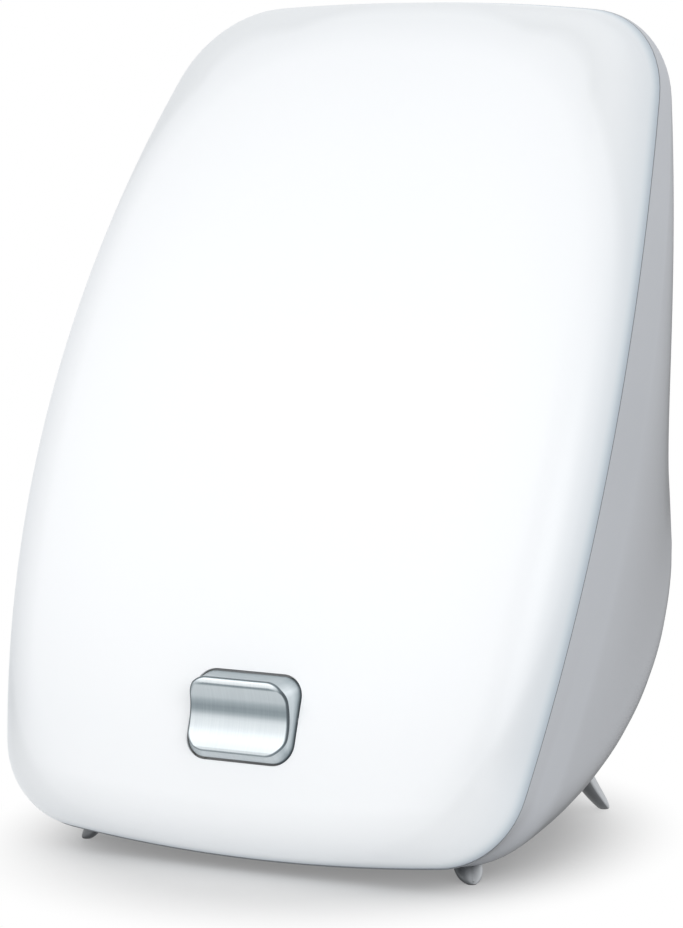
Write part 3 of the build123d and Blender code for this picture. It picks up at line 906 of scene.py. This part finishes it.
# ---- screen ---------------------------------------------------------------------------------
@dataclass
class Screen:
    """Opal screen: a shell with a straight rim, a rolled edge and a front rounded about the seam's axis."""

    palette: Palette
    form: LampForm = FORM
    rim_rows: int = 8
    roll_rows: int = 22
    front_rows: int = 26
    front_ease: float = 0.8
    opening_gap: float = 1.2
    lip_power: int = 6
    glow_z: float = 206.4
    glow_half: float = 200.6
    glow_power: float = 3.5

    def surface(self, depth: float, key: "Key") -> tuple[Array, Array]:
        """Work out one skin of the shell.

        Formula: a ball of the rolled edge's radius runs round inside the outline and behind the
        front drum.  Its centre is the outline point less radius * normal, at the depth where the
        drum's radius less the ball's meets that height.  The rim goes straight back from where the
        ball touches the outline; the rolled edge turns from the outline's normal to the drum's; the
        front runs from there to the key's opening, straight in width and in angle about the axis.

        Args:
            depth: How far the skin lies inside the outer surface.
            key: The key, which gives its opening's outline.

        Returns:
            Points of rows by columns by 3, and three shares of each: its lift off the seam, its way in
            from the outline to the middle, and its nearness to the opening on the inside, where shade is
            painted.
        """
        f = self.form
        x, z, nx, nz = (value[0] for value in walk(f.seam, 1))
        ball = f.screen_edge_r
        reach = f.front_r - ball
        centre = join(x - ball * nx, f.drum_y(z - ball * nz, reach), z - ball * nz)
        side = join(nx, 0.0, nz)
        front = (centre - np.array([0, f.axis_y, f.axis_z])) * np.array([0, 1, 1]) / reach
        turn = np.arccos(np.clip((side * front).sum(axis=-1), -1, 1))
        radius = ball - depth

        def rolled(t: Array) -> Array:
            """Return the skin's points at an angle t from the rim's normal."""
            unit = np.sin(turn - t)[..., None] * side + np.sin(t)[..., None] * front
            return centre + radius * (unit / np.sin(turn)[..., None])

        seam_r = f.seam_r + f.seam_gap / 2
        low, _ = halve(np.zeros_like(turn), turn, lambda t: f.reach(rolled(t)) >= seam_r)
        start = np.where(low < SLIGHT, 0.0, low)
        first = rolled(start)
        rim_x, rim_z = x - depth * nx, z - depth * nz
        seam = join(rim_x, f.drum_y(rim_z, seam_r), rim_z)
        seam = np.where((start > 0)[:, None], first, seam)
        share = np.linspace(0, 1, self.rim_rows, endpoint=False)[:, None, None]
        rim = seam + (first - seam) * share
        share = np.linspace(0, 1, self.roll_rows)[:, None]
        roll = rolled(start + (turn - start) * share)
        edge = roll[-1]
        drum = f.front_r - depth
        edge_turn = np.arcsin((edge[:, 2] - f.axis_z) / drum)
        hole_x, hole_turn = key.opening(drum, self.opening_gap)
        share = np.linspace(0, 1, self.front_rows + 1)[1:, None] ** self.front_ease
        across = edge[:, 0] + (hole_x - edge[:, 0]) * share
        rise = edge_turn + (hole_turn - edge_turn) * share
        face = join(across, f.axis_y - drum * np.cos(rise), f.axis_z + drum * np.sin(rise))
        points = np.concatenate([rim, roll, face])
        lift = (f.reach(points) - seam_r) / (f.front_r - seam_r)
        wide = np.abs(points[..., 0] / np.interp(points[..., 2], *self.widths(x, z)))
        tall = np.abs((points[..., 2] - self.glow_z) / self.glow_half)
        spread = (wide ** self.glow_power + tall ** self.glow_power) ** (1 / self.glow_power)
        # painted shade: the inner skin darkens towards the key's opening
        lip = np.zeros_like(lift)
        if depth > 0:
            lip[-self.front_rows:] = share ** self.lip_power
        return points, np.stack([np.clip(lift, 0, 1), np.clip(1 - spread, 0, 1), lip])

    @staticmethod
    def widths(x: Array, z: Array) -> tuple[Array, Array]:
        """Return the outline's heights, rising, and its half width at each."""
        side = slice(STEPS[0], HALF - STEPS[4])
        return z[side], x[side]

    def build(self, key: "Key") -> bpy.types.Object:
        """Build the shell: two skins joined along the seam and round the key's opening.

        Args:
            key: The key, which gives its opening's outline.

        Returns:
            The screen.
        """
        outer, shade_out = self.surface(0.0, key)
        inner, shade_in = self.surface(self.form.wall, key)
        rows = len(outer)
        points = np.concatenate([outer, inner[::-1]])
        piece = make_piece("opal_screen", points.reshape(-1, 3), grid_faces(2 * rows, COLUMNS, True, False))
        for name, out, back in zip(("lift", "inner", "lip"), shade_out, shade_in):
            store(piece.data, name, "POINT", np.concatenate([out, back[::-1]]))
        self.palette.dress(piece, "opal_screen")
        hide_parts("front_cover")
        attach(piece, "root")
        return piece


# ---- housing --------------------------------------------------------------------------------
@dataclass
class Housing:
    """Grey rear housing: it narrows behind the seam to a flat, softly rounded back with vents."""

    palette: Palette
    form: LampForm = FORM
    wall_rows: int = 60
    round_rows: int = 14
    vent_w: float = 3.0
    vent_h: float = 30.0
    vent_pitch: float = 9.0
    vent_count: int = 13
    vent_rows: tuple[float, float] = (112.0, 330.0)
    vent_arc: int = 8
    inlet: tuple[float, float, float] = (66.0, 27.0, 19.8)
    cutter_reach: float = 8.0
    pole_z: float = 210.0
    under_share: float = 0.4

    def surface(self, depth: float) -> Array:
        """Work out one skin of the shell.

        Formula: the outline changes from the seam's to the back's by share ** power, with the
        bottom flattening early by a smooth step.  A point's Y lies on a plane that fans out from a
        line above the top: seam + high - (fan height - z) * (high - low) / fan height above the
        seam.  Each column starts where that plane family meets the seam's drum; the last rows draw
        in by a quarter turn to the flat back.

        Args:
            depth: How far the skin lies inside the outer surface.

        Returns:
            Points of rows by columns by 3, from the seam to the back.
        """
        f = self.form
        rise = f.fan_z - f.seam_z
        last = f.fan_depth - rise * math.tan(math.radians(f.fan_end_lean))
        _, seam_z, _, _ = walk(f.seam.inset(depth), 1)
        seam_y = f.drum_y(seam_z, f.seam_r - f.seam_gap / 2)
        first = f.fan_depth - (f.seam_y + f.fan_depth - seam_y) * rise / (f.fan_z - seam_z)
        share = np.linspace(0, 1, self.wall_rows)[:, None]
        low = first + (last - first) * share
        turn = np.linspace(0, math.pi / 2, self.round_rows + 1)[1:, None]
        back = f.depth - depth
        drawn = last + (back - last) * np.sin(turn)
        low = np.concatenate([low, np.broadcast_to(drawn, (self.round_rows, COLUMNS))])
        high = np.full_like(low, f.fan_depth)
        high[self.wall_rows:] = f.fan_depth + (back - f.fan_depth) * np.sin(turn)
        inset = np.full_like(low, depth)
        inset[self.wall_rows:] = depth + (f.back_round - depth) * (1 - np.cos(turn))
        part = np.clip(low / f.depth, 0, 1)
        ease = np.clip(part / f.belly_share, 0, 1)
        sizes = f.seam.blend(f.belly, ease * ease * (3 - 2 * ease)).blend(f.back, part ** f.taper_power)
        x, z, _, _ = walk(sizes.inset(inset), len(low))
        y = f.seam_y + high - (f.fan_z - z) * (high - low) / rise
        y[0] = seam_y[0]
        return join(x, y, z)

    def slots(self) -> Array:
        """Draw the vents' outlines: straight sides with a half circle at each end.

        Returns:
            Loops by points by (x, z).
        """
        t = np.linspace(0, math.pi, self.vent_arc)
        r = self.vent_w / 2
        top = join(r * np.cos(t), self.vent_h / 2 - r + r * np.sin(t))
        loop = np.concatenate([top, -top])
        first = -self.vent_pitch * (self.vent_count - 1) / 2
        places = [(first + i * self.vent_pitch, z) for z in self.vent_rows for i in range(self.vent_count)]
        return loop[None] + np.array(places)[:, None]

    def build(self) -> bpy.types.Object:
        """Build the shell, then cut its vents and the inlet's opening.

        Returns:
            The housing.
        """
        outer, inner = self.surface(0.0), self.surface(self.form.wall)
        rows, back = len(outer), self.form.back_y
        poles = join(0.0, np.array([back, back - self.form.wall]), self.pole_z)
        points = np.concatenate([outer.reshape(-1, 3), inner.reshape(-1, 3), poles])
        size = rows * COLUMNS
        column = np.arange(COLUMNS)
        after = np.roll(column, -1)
        faces = grid_faces(rows, COLUMNS, False, True).tolist()
        faces += (grid_faces(rows, COLUMNS, False, False) + size).tolist()
        faces += join(column, after, after + size, column + size)[:, ::-1].tolist()
        ring = column + size - COLUMNS
        faces += pole_faces(ring, 2 * size, True) + pole_faces(ring + size, 2 * size + 1, False)
        shell = make_piece("rear_shell", points, faces)
        z, width, height = self.inlet
        hole = np.array([[[1, -1], [1, 1], [-1, 1], [-1, -1]]]) * [width / 2, height / 2] + [0, z]
        for name, loops in (("vent_tool", self.slots()), ("inlet_tool", hole)):
            solids = prisms(loops, back - self.cutter_reach, back + self.cutter_reach)
            shell = cut(shell, make_piece(name, *solids))
        self.mark_turned(shell.data)
        self.palette.dress(shell, "housing_grey")
        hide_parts("rear_housing")
        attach(shell, "root")
        return shell

    def mark_turned(self, mesh: bpy.types.Mesh) -> None:
        """Store how far each face corner turns to the back and under: ny - under_share * nz, from 0 to 1.
        The housing's finish paints shade from it.

        Args:
            mesh: The housing's mesh.
        """
        normals = np.zeros(len(mesh.loops) * 3, np.float32)
        mesh.corner_normals.foreach_get("vector", normals)
        _, y, z = normals.reshape(-1, 3).T
        store(mesh, "turned", "CORNER", np.clip(y - self.under_share * z, 0, 1))


# ---- rocker key -----------------------------------------------------------------------------
@dataclass
class Key:
    """Rocker key: flared sides, a crowned rim round its face and a hollow across it.

    The face is tilted a little further out than the key's body.  Tables of levels give, for
    directions in degrees or for heights up the face, the painted light and shade or the width of
    the crowned band: painted highlights, reflections and shade stand in for light on the metal.
    """

    palette: Palette
    form: LampForm = FORM
    height: float = 75.8
    width: float = 54.6
    tall: float = 41.2
    corner: float = 9.8
    face_w: float = 51.6
    face_h: float = 35.0
    face_r: float = 9.8
    face_up: float = 2.1
    face_top: float = 12.6
    face_tilt: float = 15.8
    tilt: float = 8.3
    pivot: float = 3.0
    skirt: float = 6.0
    wall: float = 2.0
    roof: float = 3.5
    dish_half: float = 14.2
    dish_low: float = 15.5
    dish_sag: float = 4.2
    crown: float = 0.8
    edge: float = 0.5
    bulge: float = 0.3
    flare_rows: int = 12
    edge_rows: int = 6
    face_rows: int = 44
    columns: int = 240
    sharp: float = 40.0
    climb_limit: float = 1.2
    # painted shade on the outer part of the flare, strongest on the right side
    side_dim: float = 0.3
    side_dim_share: float = 0.5
    blend_from: float = 0.8
    blend_over: float = 0.4
    # painted shade: the skirt and the key's inside below the screen are painted near black
    hidden_tone: float = 0.02
    STRETCHES: ClassVar[int] = 12     # half sides and corners round a rounded rectangle
    # Painted light and shade: the flare's levels paint a highlight at the upper right, the edge's and the
    # band's paint highlights and shade round the rim, the hollow's paint a reflection, a dark band across it
    # above a light lower half.
    FLARE_TONE: ClassVar[Levels] = (
        (-180, -90, -60, -35, -15, 15, 30, 45, 60, 90, 180),
        (0.50, 0.86, 0.86, 0.70, 0.80, 0.84, 0.98, 0.84, 0.72, 0.68, 0.50))
    EDGE_TONE: ClassVar[Levels] = (
        (-180, -90, -30, 0, 30, 60, 90, 180), (0.24, 0.55, 0.42, 0.30, 0.32, 0.42, 0.40, 0.24))
    BAND_TONE: ClassVar[Levels] = (
        (-180, -100, -60, -45, -25, 0, 35, 50, 65, 110, 180),
        (0.30, 0.9, 1.0, 0.75, 0.36, 0.28, 0.36, 0.80, 0.99, 0.99, 0.26))
    BAND_WIDTH: ClassVar[Levels] = (
        (-180, -120, -90, -50, -20, 0, 30, 50, 65, 115, 140, 180),
        (1.0, 0.6, 0.5, 0.7, 0.8, 0.9, 1.2, 2.1, 2.6, 2.6, 1.6, 1.0))
    HOLLOW_TONE: ClassVar[Levels] = (
        (0, 0.30, 0.42, 0.47, 0.51, 0.55, 0.60, 0.66, 0.73, 0.80, 0.965, 0.985, 1.005, 1.02),
        (0.94, 0.955, 0.955, 0.94, 0.86, 0.71, 0.58, 0.56, 0.64, 0.78, 0.85, 0.55, 0.55, 0.99))

    @property
    def rise(self) -> float:
        """Return the angle about the seam's axis at which the key sits."""
        return math.asin((self.height - self.form.axis_z) / self.form.front_r)

    def loop(self, width: Array, tall: Array, corner: Array, count: int) -> tuple[Array, Array]:
        """Walk round a rounded rectangle, anticlockwise from the middle of its lower edge.

        Formula: each side runs straight from the middle to where its corner starts, and each corner
        is a quarter circle, centre + corner * (cos t, sin t).

        Args:
            width: Width, a number or one to a row.
            tall: Height.
            corner: Corner radius.
            count: Points round the whole shape, as many on each of its stretches.

        Returns:
            x and y of rows by count.
        """
        w, h, r = (np.atleast_1d(np.asarray(v, float))[:, None] for v in (width, tall, corner))
        n = count // self.STRETCHES
        share = np.arange(n) / n
        t = share * math.pi / 2
        cx, cy = w / 2 - r, h / 2 - r
        zero = np.zeros((len(w), n))
        xs = [cx * share, cx + r * np.sin(t), w / 2 + zero,
              w / 2 + zero, cx + r * np.cos(t), cx * (1 - share)]
        ys = [-h / 2 + zero, -cy - r * np.cos(t), -cy * (1 - share),
              cy * share, cy + r * np.sin(t), h / 2 + zero]
        x, y = np.concatenate(xs, axis=1), np.concatenate(ys, axis=1)
        return np.concatenate([x, -x], axis=1), np.concatenate([y, -y], axis=1)

    def place(self, points: Array, tilt: float) -> Array:
        """Put points of the key's frame in the lamp's, turned about the pivot.

        Args:
            points: Points by x, y up the face and z out of it.
            tilt: How far they are turned, in degrees.

        Returns:
            The points in the lamp's frame.
        """
        f = self.form
        normal = np.array([0, -math.cos(self.rise), math.sin(self.rise)])
        up = np.array([0, math.sin(self.rise), math.cos(self.rise)])
        pivot = np.array([0, f.drum_y(np.array(self.height), f.front_r), self.height]) - normal * self.pivot
        y, z = self.turned(points[..., 1], points[..., 2], -tilt)
        return pivot + points[..., :1] * np.array([1.0, 0, 0]) + y[..., None] * up + z[..., None] * normal

    def opening(self, drum: float, gap: float) -> tuple[Array, Array]:
        """Work out the opening's edge on a drum.

        Args:
            drum: The drum's radius about the seam's axis.
            gap: How far the edge stays from the key.

        Returns:
            The edge's x, and its angle about the seam's axis.
        """
        x, y = self.loop(self.width + 2 * gap, self.tall + 2 * gap, self.corner + gap, COLUMNS)
        return x[0], self.rise + np.arcsin(y[0] / drum)

    def face_z(self, y: Array, depth: Array | float, band: Array) -> Array:
        """Work out the face's height above the pivot.

        Formula: the hollow sinks by sag - (R - root(R^2 - y^2)) about its middle line, where
        R = (half^2 + sag^2) / 2 sag; within a band of the outline the crown falls by
        crown * (1 - depth / band)^2.

        Args:
            y: How far up the face.
            depth: How far in from the face's outline.
            band: Width of the crowned band.

        Returns:
            The height at each point.
        """
        radius = arc_r(self.dish_half, self.dish_sag)
        inner = np.clip(y - self.face_up, -self.dish_low, self.dish_half)
        sunk = self.dish_sag - (radius - np.sqrt(radius ** 2 - inner ** 2))
        return self.face_top - sunk - self.crown * np.clip(1 - depth / band, 0, 1) ** 2

    @staticmethod
    def turned(y: Array, z: Array | float, tilt: float) -> tuple[Array, Array]:
        """Return y and z turned back by a tilt in degrees."""
        a = math.radians(tilt)
        return y * math.cos(a) + z * math.sin(a), z * math.cos(a) - y * math.sin(a)

    def rings(self) -> tuple[Array, Array]:
        """Work out the key's outside above the screen, ring by ring, and its painted light and shade.

        Formula: each column climbs the flare, base + (face outline - base) * s in height and
        1 - (1 - s)^2 in plan, until it meets the face's height; that s is found by halving.  The
        flare is hollowed by 4 * bulge * t * (1 - t).  The edge is a quadratic curve between a point
        a little below it and a point a little inside it, and the face runs on from there, straight
        in plan, to a line along the middle.

        Returns:
            Points of rings by columns by 3 in the face's frame, and painted light and shade for each.
        """
        count = self.columns
        x0, y0 = (v[0] for v in self.loop(self.width, self.tall, self.corner, count))
        x1, y1 = (v[0] for v in self.loop(self.face_w, self.face_h, self.face_r, count))
        y0, z0 = self.turned(y0, self.pivot, self.face_tilt)
        base = join(x0, y0, z0)
        high = join(x1, y1 + self.face_up, self.face_top)
        way = self.way(x1, y1)
        band = np.interp(way, *self.BAND_WIDTH)

        def climbed(s: Array) -> Array:
            """Return the columns' points a share s of the way up the flare."""
            plan = 1 - (1 - s) ** 2
            return base + (high - base) * join(plan, plan, s)

        def above(s: Array) -> Array:
            """Return whether those points lie above the face."""
            points = climbed(s)
            return points[:, 2] > self.face_z(points[:, 1], 0.0, band)

        rim = climbed(halve(np.zeros(count), np.full(count, self.climb_limit), above)[0])
        core = self.face_w / 2 - self.face_h / 2
        middle = join(np.clip(rim[:, 0], -core, core), self.face_up)
        down = (base - rim) / np.linalg.norm(base - rim, axis=-1)[:, None]
        inward = middle - rim[:, :2]
        reach = np.linalg.norm(inward, axis=-1)
        inward = inward / reach[:, None]
        start = rim + down * self.edge
        plan = rim[:, :2] + inward * self.edge
        stop = join(plan[:, 0], plan[:, 1], self.face_z(plan[:, 1], self.edge, band))
        t = np.linspace(0, 1, self.flare_rows)[:, None]
        flare = base + (start - base) * t[..., None]
        flare[..., :2] += inward * (4 * self.bulge * t * (1 - t))[..., None]
        t = np.linspace(0, 1, self.edge_rows + 1)[1:, None, None]
        curve = (1 - t) ** 2 * start + 2 * t * (1 - t) * rim + t ** 2 * stop
        t = np.linspace(0, 1, self.face_rows + 1)[1:, None]
        depth = self.edge + (reach - self.edge) * t
        plan = rim[:, :2] + inward * depth[..., None]
        face = join(plan[..., 0], plan[..., 1], self.face_z(plan[..., 1], depth, band))
        return np.concatenate([flare, curve, face]), self.tones(way, band, plan[..., 1], depth)

    def way(self, x: Array, y: Array) -> Array:
        """Return the direction in degrees that a rounded rectangle's side faces at each point."""
        cx, cy = self.face_w / 2 - self.face_r, self.face_h / 2 - self.face_r
        return np.degrees(np.arctan2(y - np.clip(y, -cy, cy), x - np.clip(x, -cx, cx)))

    def tones(self, way: Array, band: Array, y: Array, depth: Array) -> Array:
        """Work out the painted light and shade of each ring, from the way it faces.

        Formula: round the flare, the edge and the crowned band the painted highlights and shade
        follow the direction that a column faces, read off a few levels; over the hollow a painted
        reflection follows the height up the face.

        Args:
            way: Direction of each column in plan, in degrees.
            band: Width of the crowned band in each column.
            y: Height up the face of the face's rings.
            depth: How far in those rings lie.

        Returns:
            Painted light and shade of rings by columns, from 0 for black to 1.
        """
        flare = np.interp(way, *self.FLARE_TONE)
        t = np.linspace(0, 1, self.flare_rows)[:, None]
        side = np.clip(np.cos(np.radians(way)), 0, 1)
        # painted shade darkens the outer part of the flare on its right side
        flare = flare * (1 - self.side_dim * side * np.clip(1 - t / self.side_dim_share, 0, 1))
        edge = np.tile(np.interp(way, *self.EDGE_TONE), (self.edge_rows, 1))
        crown = np.interp(way, *self.BAND_TONE)
        share = (y - self.face_up + self.face_h / 2) / (self.face_h / 2 + self.dish_half)
        hollow = np.interp(share, *self.HOLLOW_TONE)
        blend = np.clip((depth - self.blend_from * band) / (self.blend_over * band), 0, 1)
        return np.concatenate([flare, edge, crown + (hollow - crown) * blend])

    def build(self) -> bpy.types.Object:
        """Build the key from its hollow, round the skirt and up the flare, to its concave face.

        Returns:
            The key.
        """
        count, thin = self.columns, 2 * self.wall
        w = [self.width - thin] * 2 + [self.width]
        h = [self.tall - thin] * 2 + [self.tall]
        r = [self.corner - self.wall] * 2 + [self.corner]
        x, y = self.loop(w, h, r, count)
        z = np.array([self.roof, -self.skirt, -self.skirt])[:, None]
        y, z = self.turned(y, z, self.face_tilt - self.tilt)
        points, tone = self.rings()
        points = np.concatenate([join(x, y, z), points])
        # painted shade: the skirt rows are painted near black, as the shade in the gap round the key
        tone = np.concatenate([np.full((len(x), count), self.hidden_tone), tone])
        faces = grid_faces(len(points), count, False, False).tolist() + [np.arange(count)[::-1].tolist()]
        placed = self.place(points, self.face_tilt)
        piece = make_piece("rocker_key", placed.reshape(-1, 3), faces, self.sharp)
        # store the painted reflections, highlights and shade for the key's finish
        store(piece.data, "tone", "POINT", tone)
        close_seam(piece.data)
        self.palette.dress(piece, "key_metal")
        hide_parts("switch_key")
        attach(piece, "key")
        return piece


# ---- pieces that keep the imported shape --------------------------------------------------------
class Fittings:
    """Everything else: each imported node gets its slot's finish."""

    def __init__(self, palette: Palette) -> None:
        """Remember where finishes come from."""
        self.palette = palette

    def dress(self) -> None:
        """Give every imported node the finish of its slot."""
        for part in frame["record"]["subparts"]:
            piece = frame["nodes"][part["node"]]
            self.palette.dress(piece, part["material_slot"])
            LOG.info("packed node %s finished as %s", part["node"], part["material_slot"])


# ---- surroundings -----------------------------------------------------------------------------
@dataclass(frozen=True)
class SoftLamp:
    """A square soft lamp: its name, place, side in metres and power in watts."""

    name: str
    spot: Triple
    size: float
    power: float

    def hang(self, aim: Triple) -> None:
        """Hang the lamp in the scene.

        Args:
            aim: The place it points at.
        """
        data = bpy.data.lights.new(self.name, "AREA")
        data.size, data.energy = self.size, self.power
        light = bpy.data.objects.new(self.name, data)
        light.location = self.spot
        light.rotation_euler = (Vector(aim) - Vector(self.spot)).to_track_quat("-Z", "Y").to_euler()
        bpy.context.scene.collection.objects.link(light)


@dataclass
class Studio:
    """Pale table, soft lamps, white surroundings and the camera."""

    lens: float = 138.07
    sensor: float = 36.0
    nearest: float = 0.05
    spot: Triple = (0.76161, -1.56397, 0.41562)
    turn: tuple[float, float] = (90 - 7.657, 26.088)
    aim: Triple = (0, 0, 0.2)
    lamps: tuple[SoftLamp, ...] = (SoftLamp("main", (-0.9, -1.5, 1.5), 1.2, 8.5),
                                   SoftLamp("fill", (1.5, -1.25, 1.0), 1.2, 11.0),
                                   SoftLamp("top", (0.0, 0.4, 1.9), 1.4, 3.5))
    table_half: float = 3.0
    table_cells: int = 12
    table_tones: tuple[Colour, Colour] = ((0.69, 0.69, 0.69), (0.72, 0.72, 0.72))
    footprint: Triple = (0.127, 0.149, 1.0)
    footprint_y: float = -0.021
    fade: tuple[float, float] = (0.81, 1.39)
    least_white: float = 0.24
    world_light: float = 0.62

    def camera(self) -> None:
        """Stand the camera at the front right, looking slightly down."""
        data = bpy.data.cameras.new("camera")
        data.lens, data.sensor_width, data.clip_start = self.lens, self.sensor, self.nearest
        eye = bpy.data.objects.new("camera", data)
        eye.location = self.spot
        eye.rotation_euler = (math.radians(self.turn[0]), 0, math.radians(self.turn[1]))
        bpy.context.scene.collection.objects.link(eye)
        bpy.context.scene.camera = eye

    def table(self) -> None:
        """Lay the table: it keeps the shadow near the object and fades to white further out."""
        cells = self.table_cells
        line = np.linspace(-1, 1, cells + 1) * self.table_half / MM
        points = join(*np.meshgrid(line, line), 0.0).reshape(-1, 3)
        row, column = np.divmod(np.arange(cells ** 2), cells)
        start = row * (cells + 1) + column
        floor = make_piece("table", points, join(start, start + 1, start + cells + 2, start + cells + 1))
        floor.data.materials.append(self.table_white())

    def table_white(self) -> bpy.types.Material:
        """Make the table's material: its white share grows with the way out of an oval footprint.

        Returns:
            The material.
        """
        paint = Paint("table_white")
        paint.coat(Base_Color=paint.mix(paint.noise(60.0, 2.0), *self.table_tones), Roughness=0.6)
        centred = paint.add("ShaderNodeVectorMath", {"operation": "SUBTRACT"},
                            {0: paint.place(), 1: (0.0, self.footprint_y, 0.0)})
        oval = paint.add("ShaderNodeVectorMath", {"operation": "DIVIDE"}, {0: centred, 1: self.footprint})
        far = paint.add("ShaderNodeVectorMath", {"operation": "LENGTH"}, {0: oval}, "Value")
        fade = paint.add("ShaderNodeMapRange", {"interpolation_type": "SMOOTHSTEP"},
                         {"Value": far, "From Min": self.fade[0], "From Max": self.fade[1],
                          "To Min": self.least_white})
        white = paint.add("ShaderNodeEmission", {}, {})
        paint.end("ShaderNodeOutputMaterial", paint.blend(fade * paint.seen(), paint.shader, white))
        return paint.material

    def surroundings(self) -> None:
        """Make the world plain white to the eye and in reflections, and dimmer as a light."""
        world = bpy.data.worlds.new("studio_white")
        world.use_nodes = True
        bpy.context.scene.world = world
        sky = Graph(world.node_tree)
        dim, bright = (sky.add("ShaderNodeBackground", {}, {"Color": WHITE, "Strength": strength})
                       for strength in (self.world_light, 1.0))
        sky.end("ShaderNodeOutputWorld", sky.blend(sky.seen(), dim, bright))

    def build(self) -> None:
        """Set the whole stage."""
        self.camera()
        self.table()
        self.surroundings()
        for lamp in self.lamps:
            lamp.hang(self.aim)
        bpy.context.scene.view_settings.view_transform = "Standard"


def main() -> None:
    """Build every sub-assembly in order and report its pieces."""
    logging.basicConfig(level=logging.INFO)
    Studio().build()
    palette = Palette()
    Fittings(palette).dress()
    key = Key(palette)
    pieces = [Screen(palette).build(key), Housing(palette).build(), key.build()]
    for piece in pieces:
        LOG.info("piece %s: %d faces", piece.name, len(piece.data.polygons))


if __name__ == "__main__":
    main()
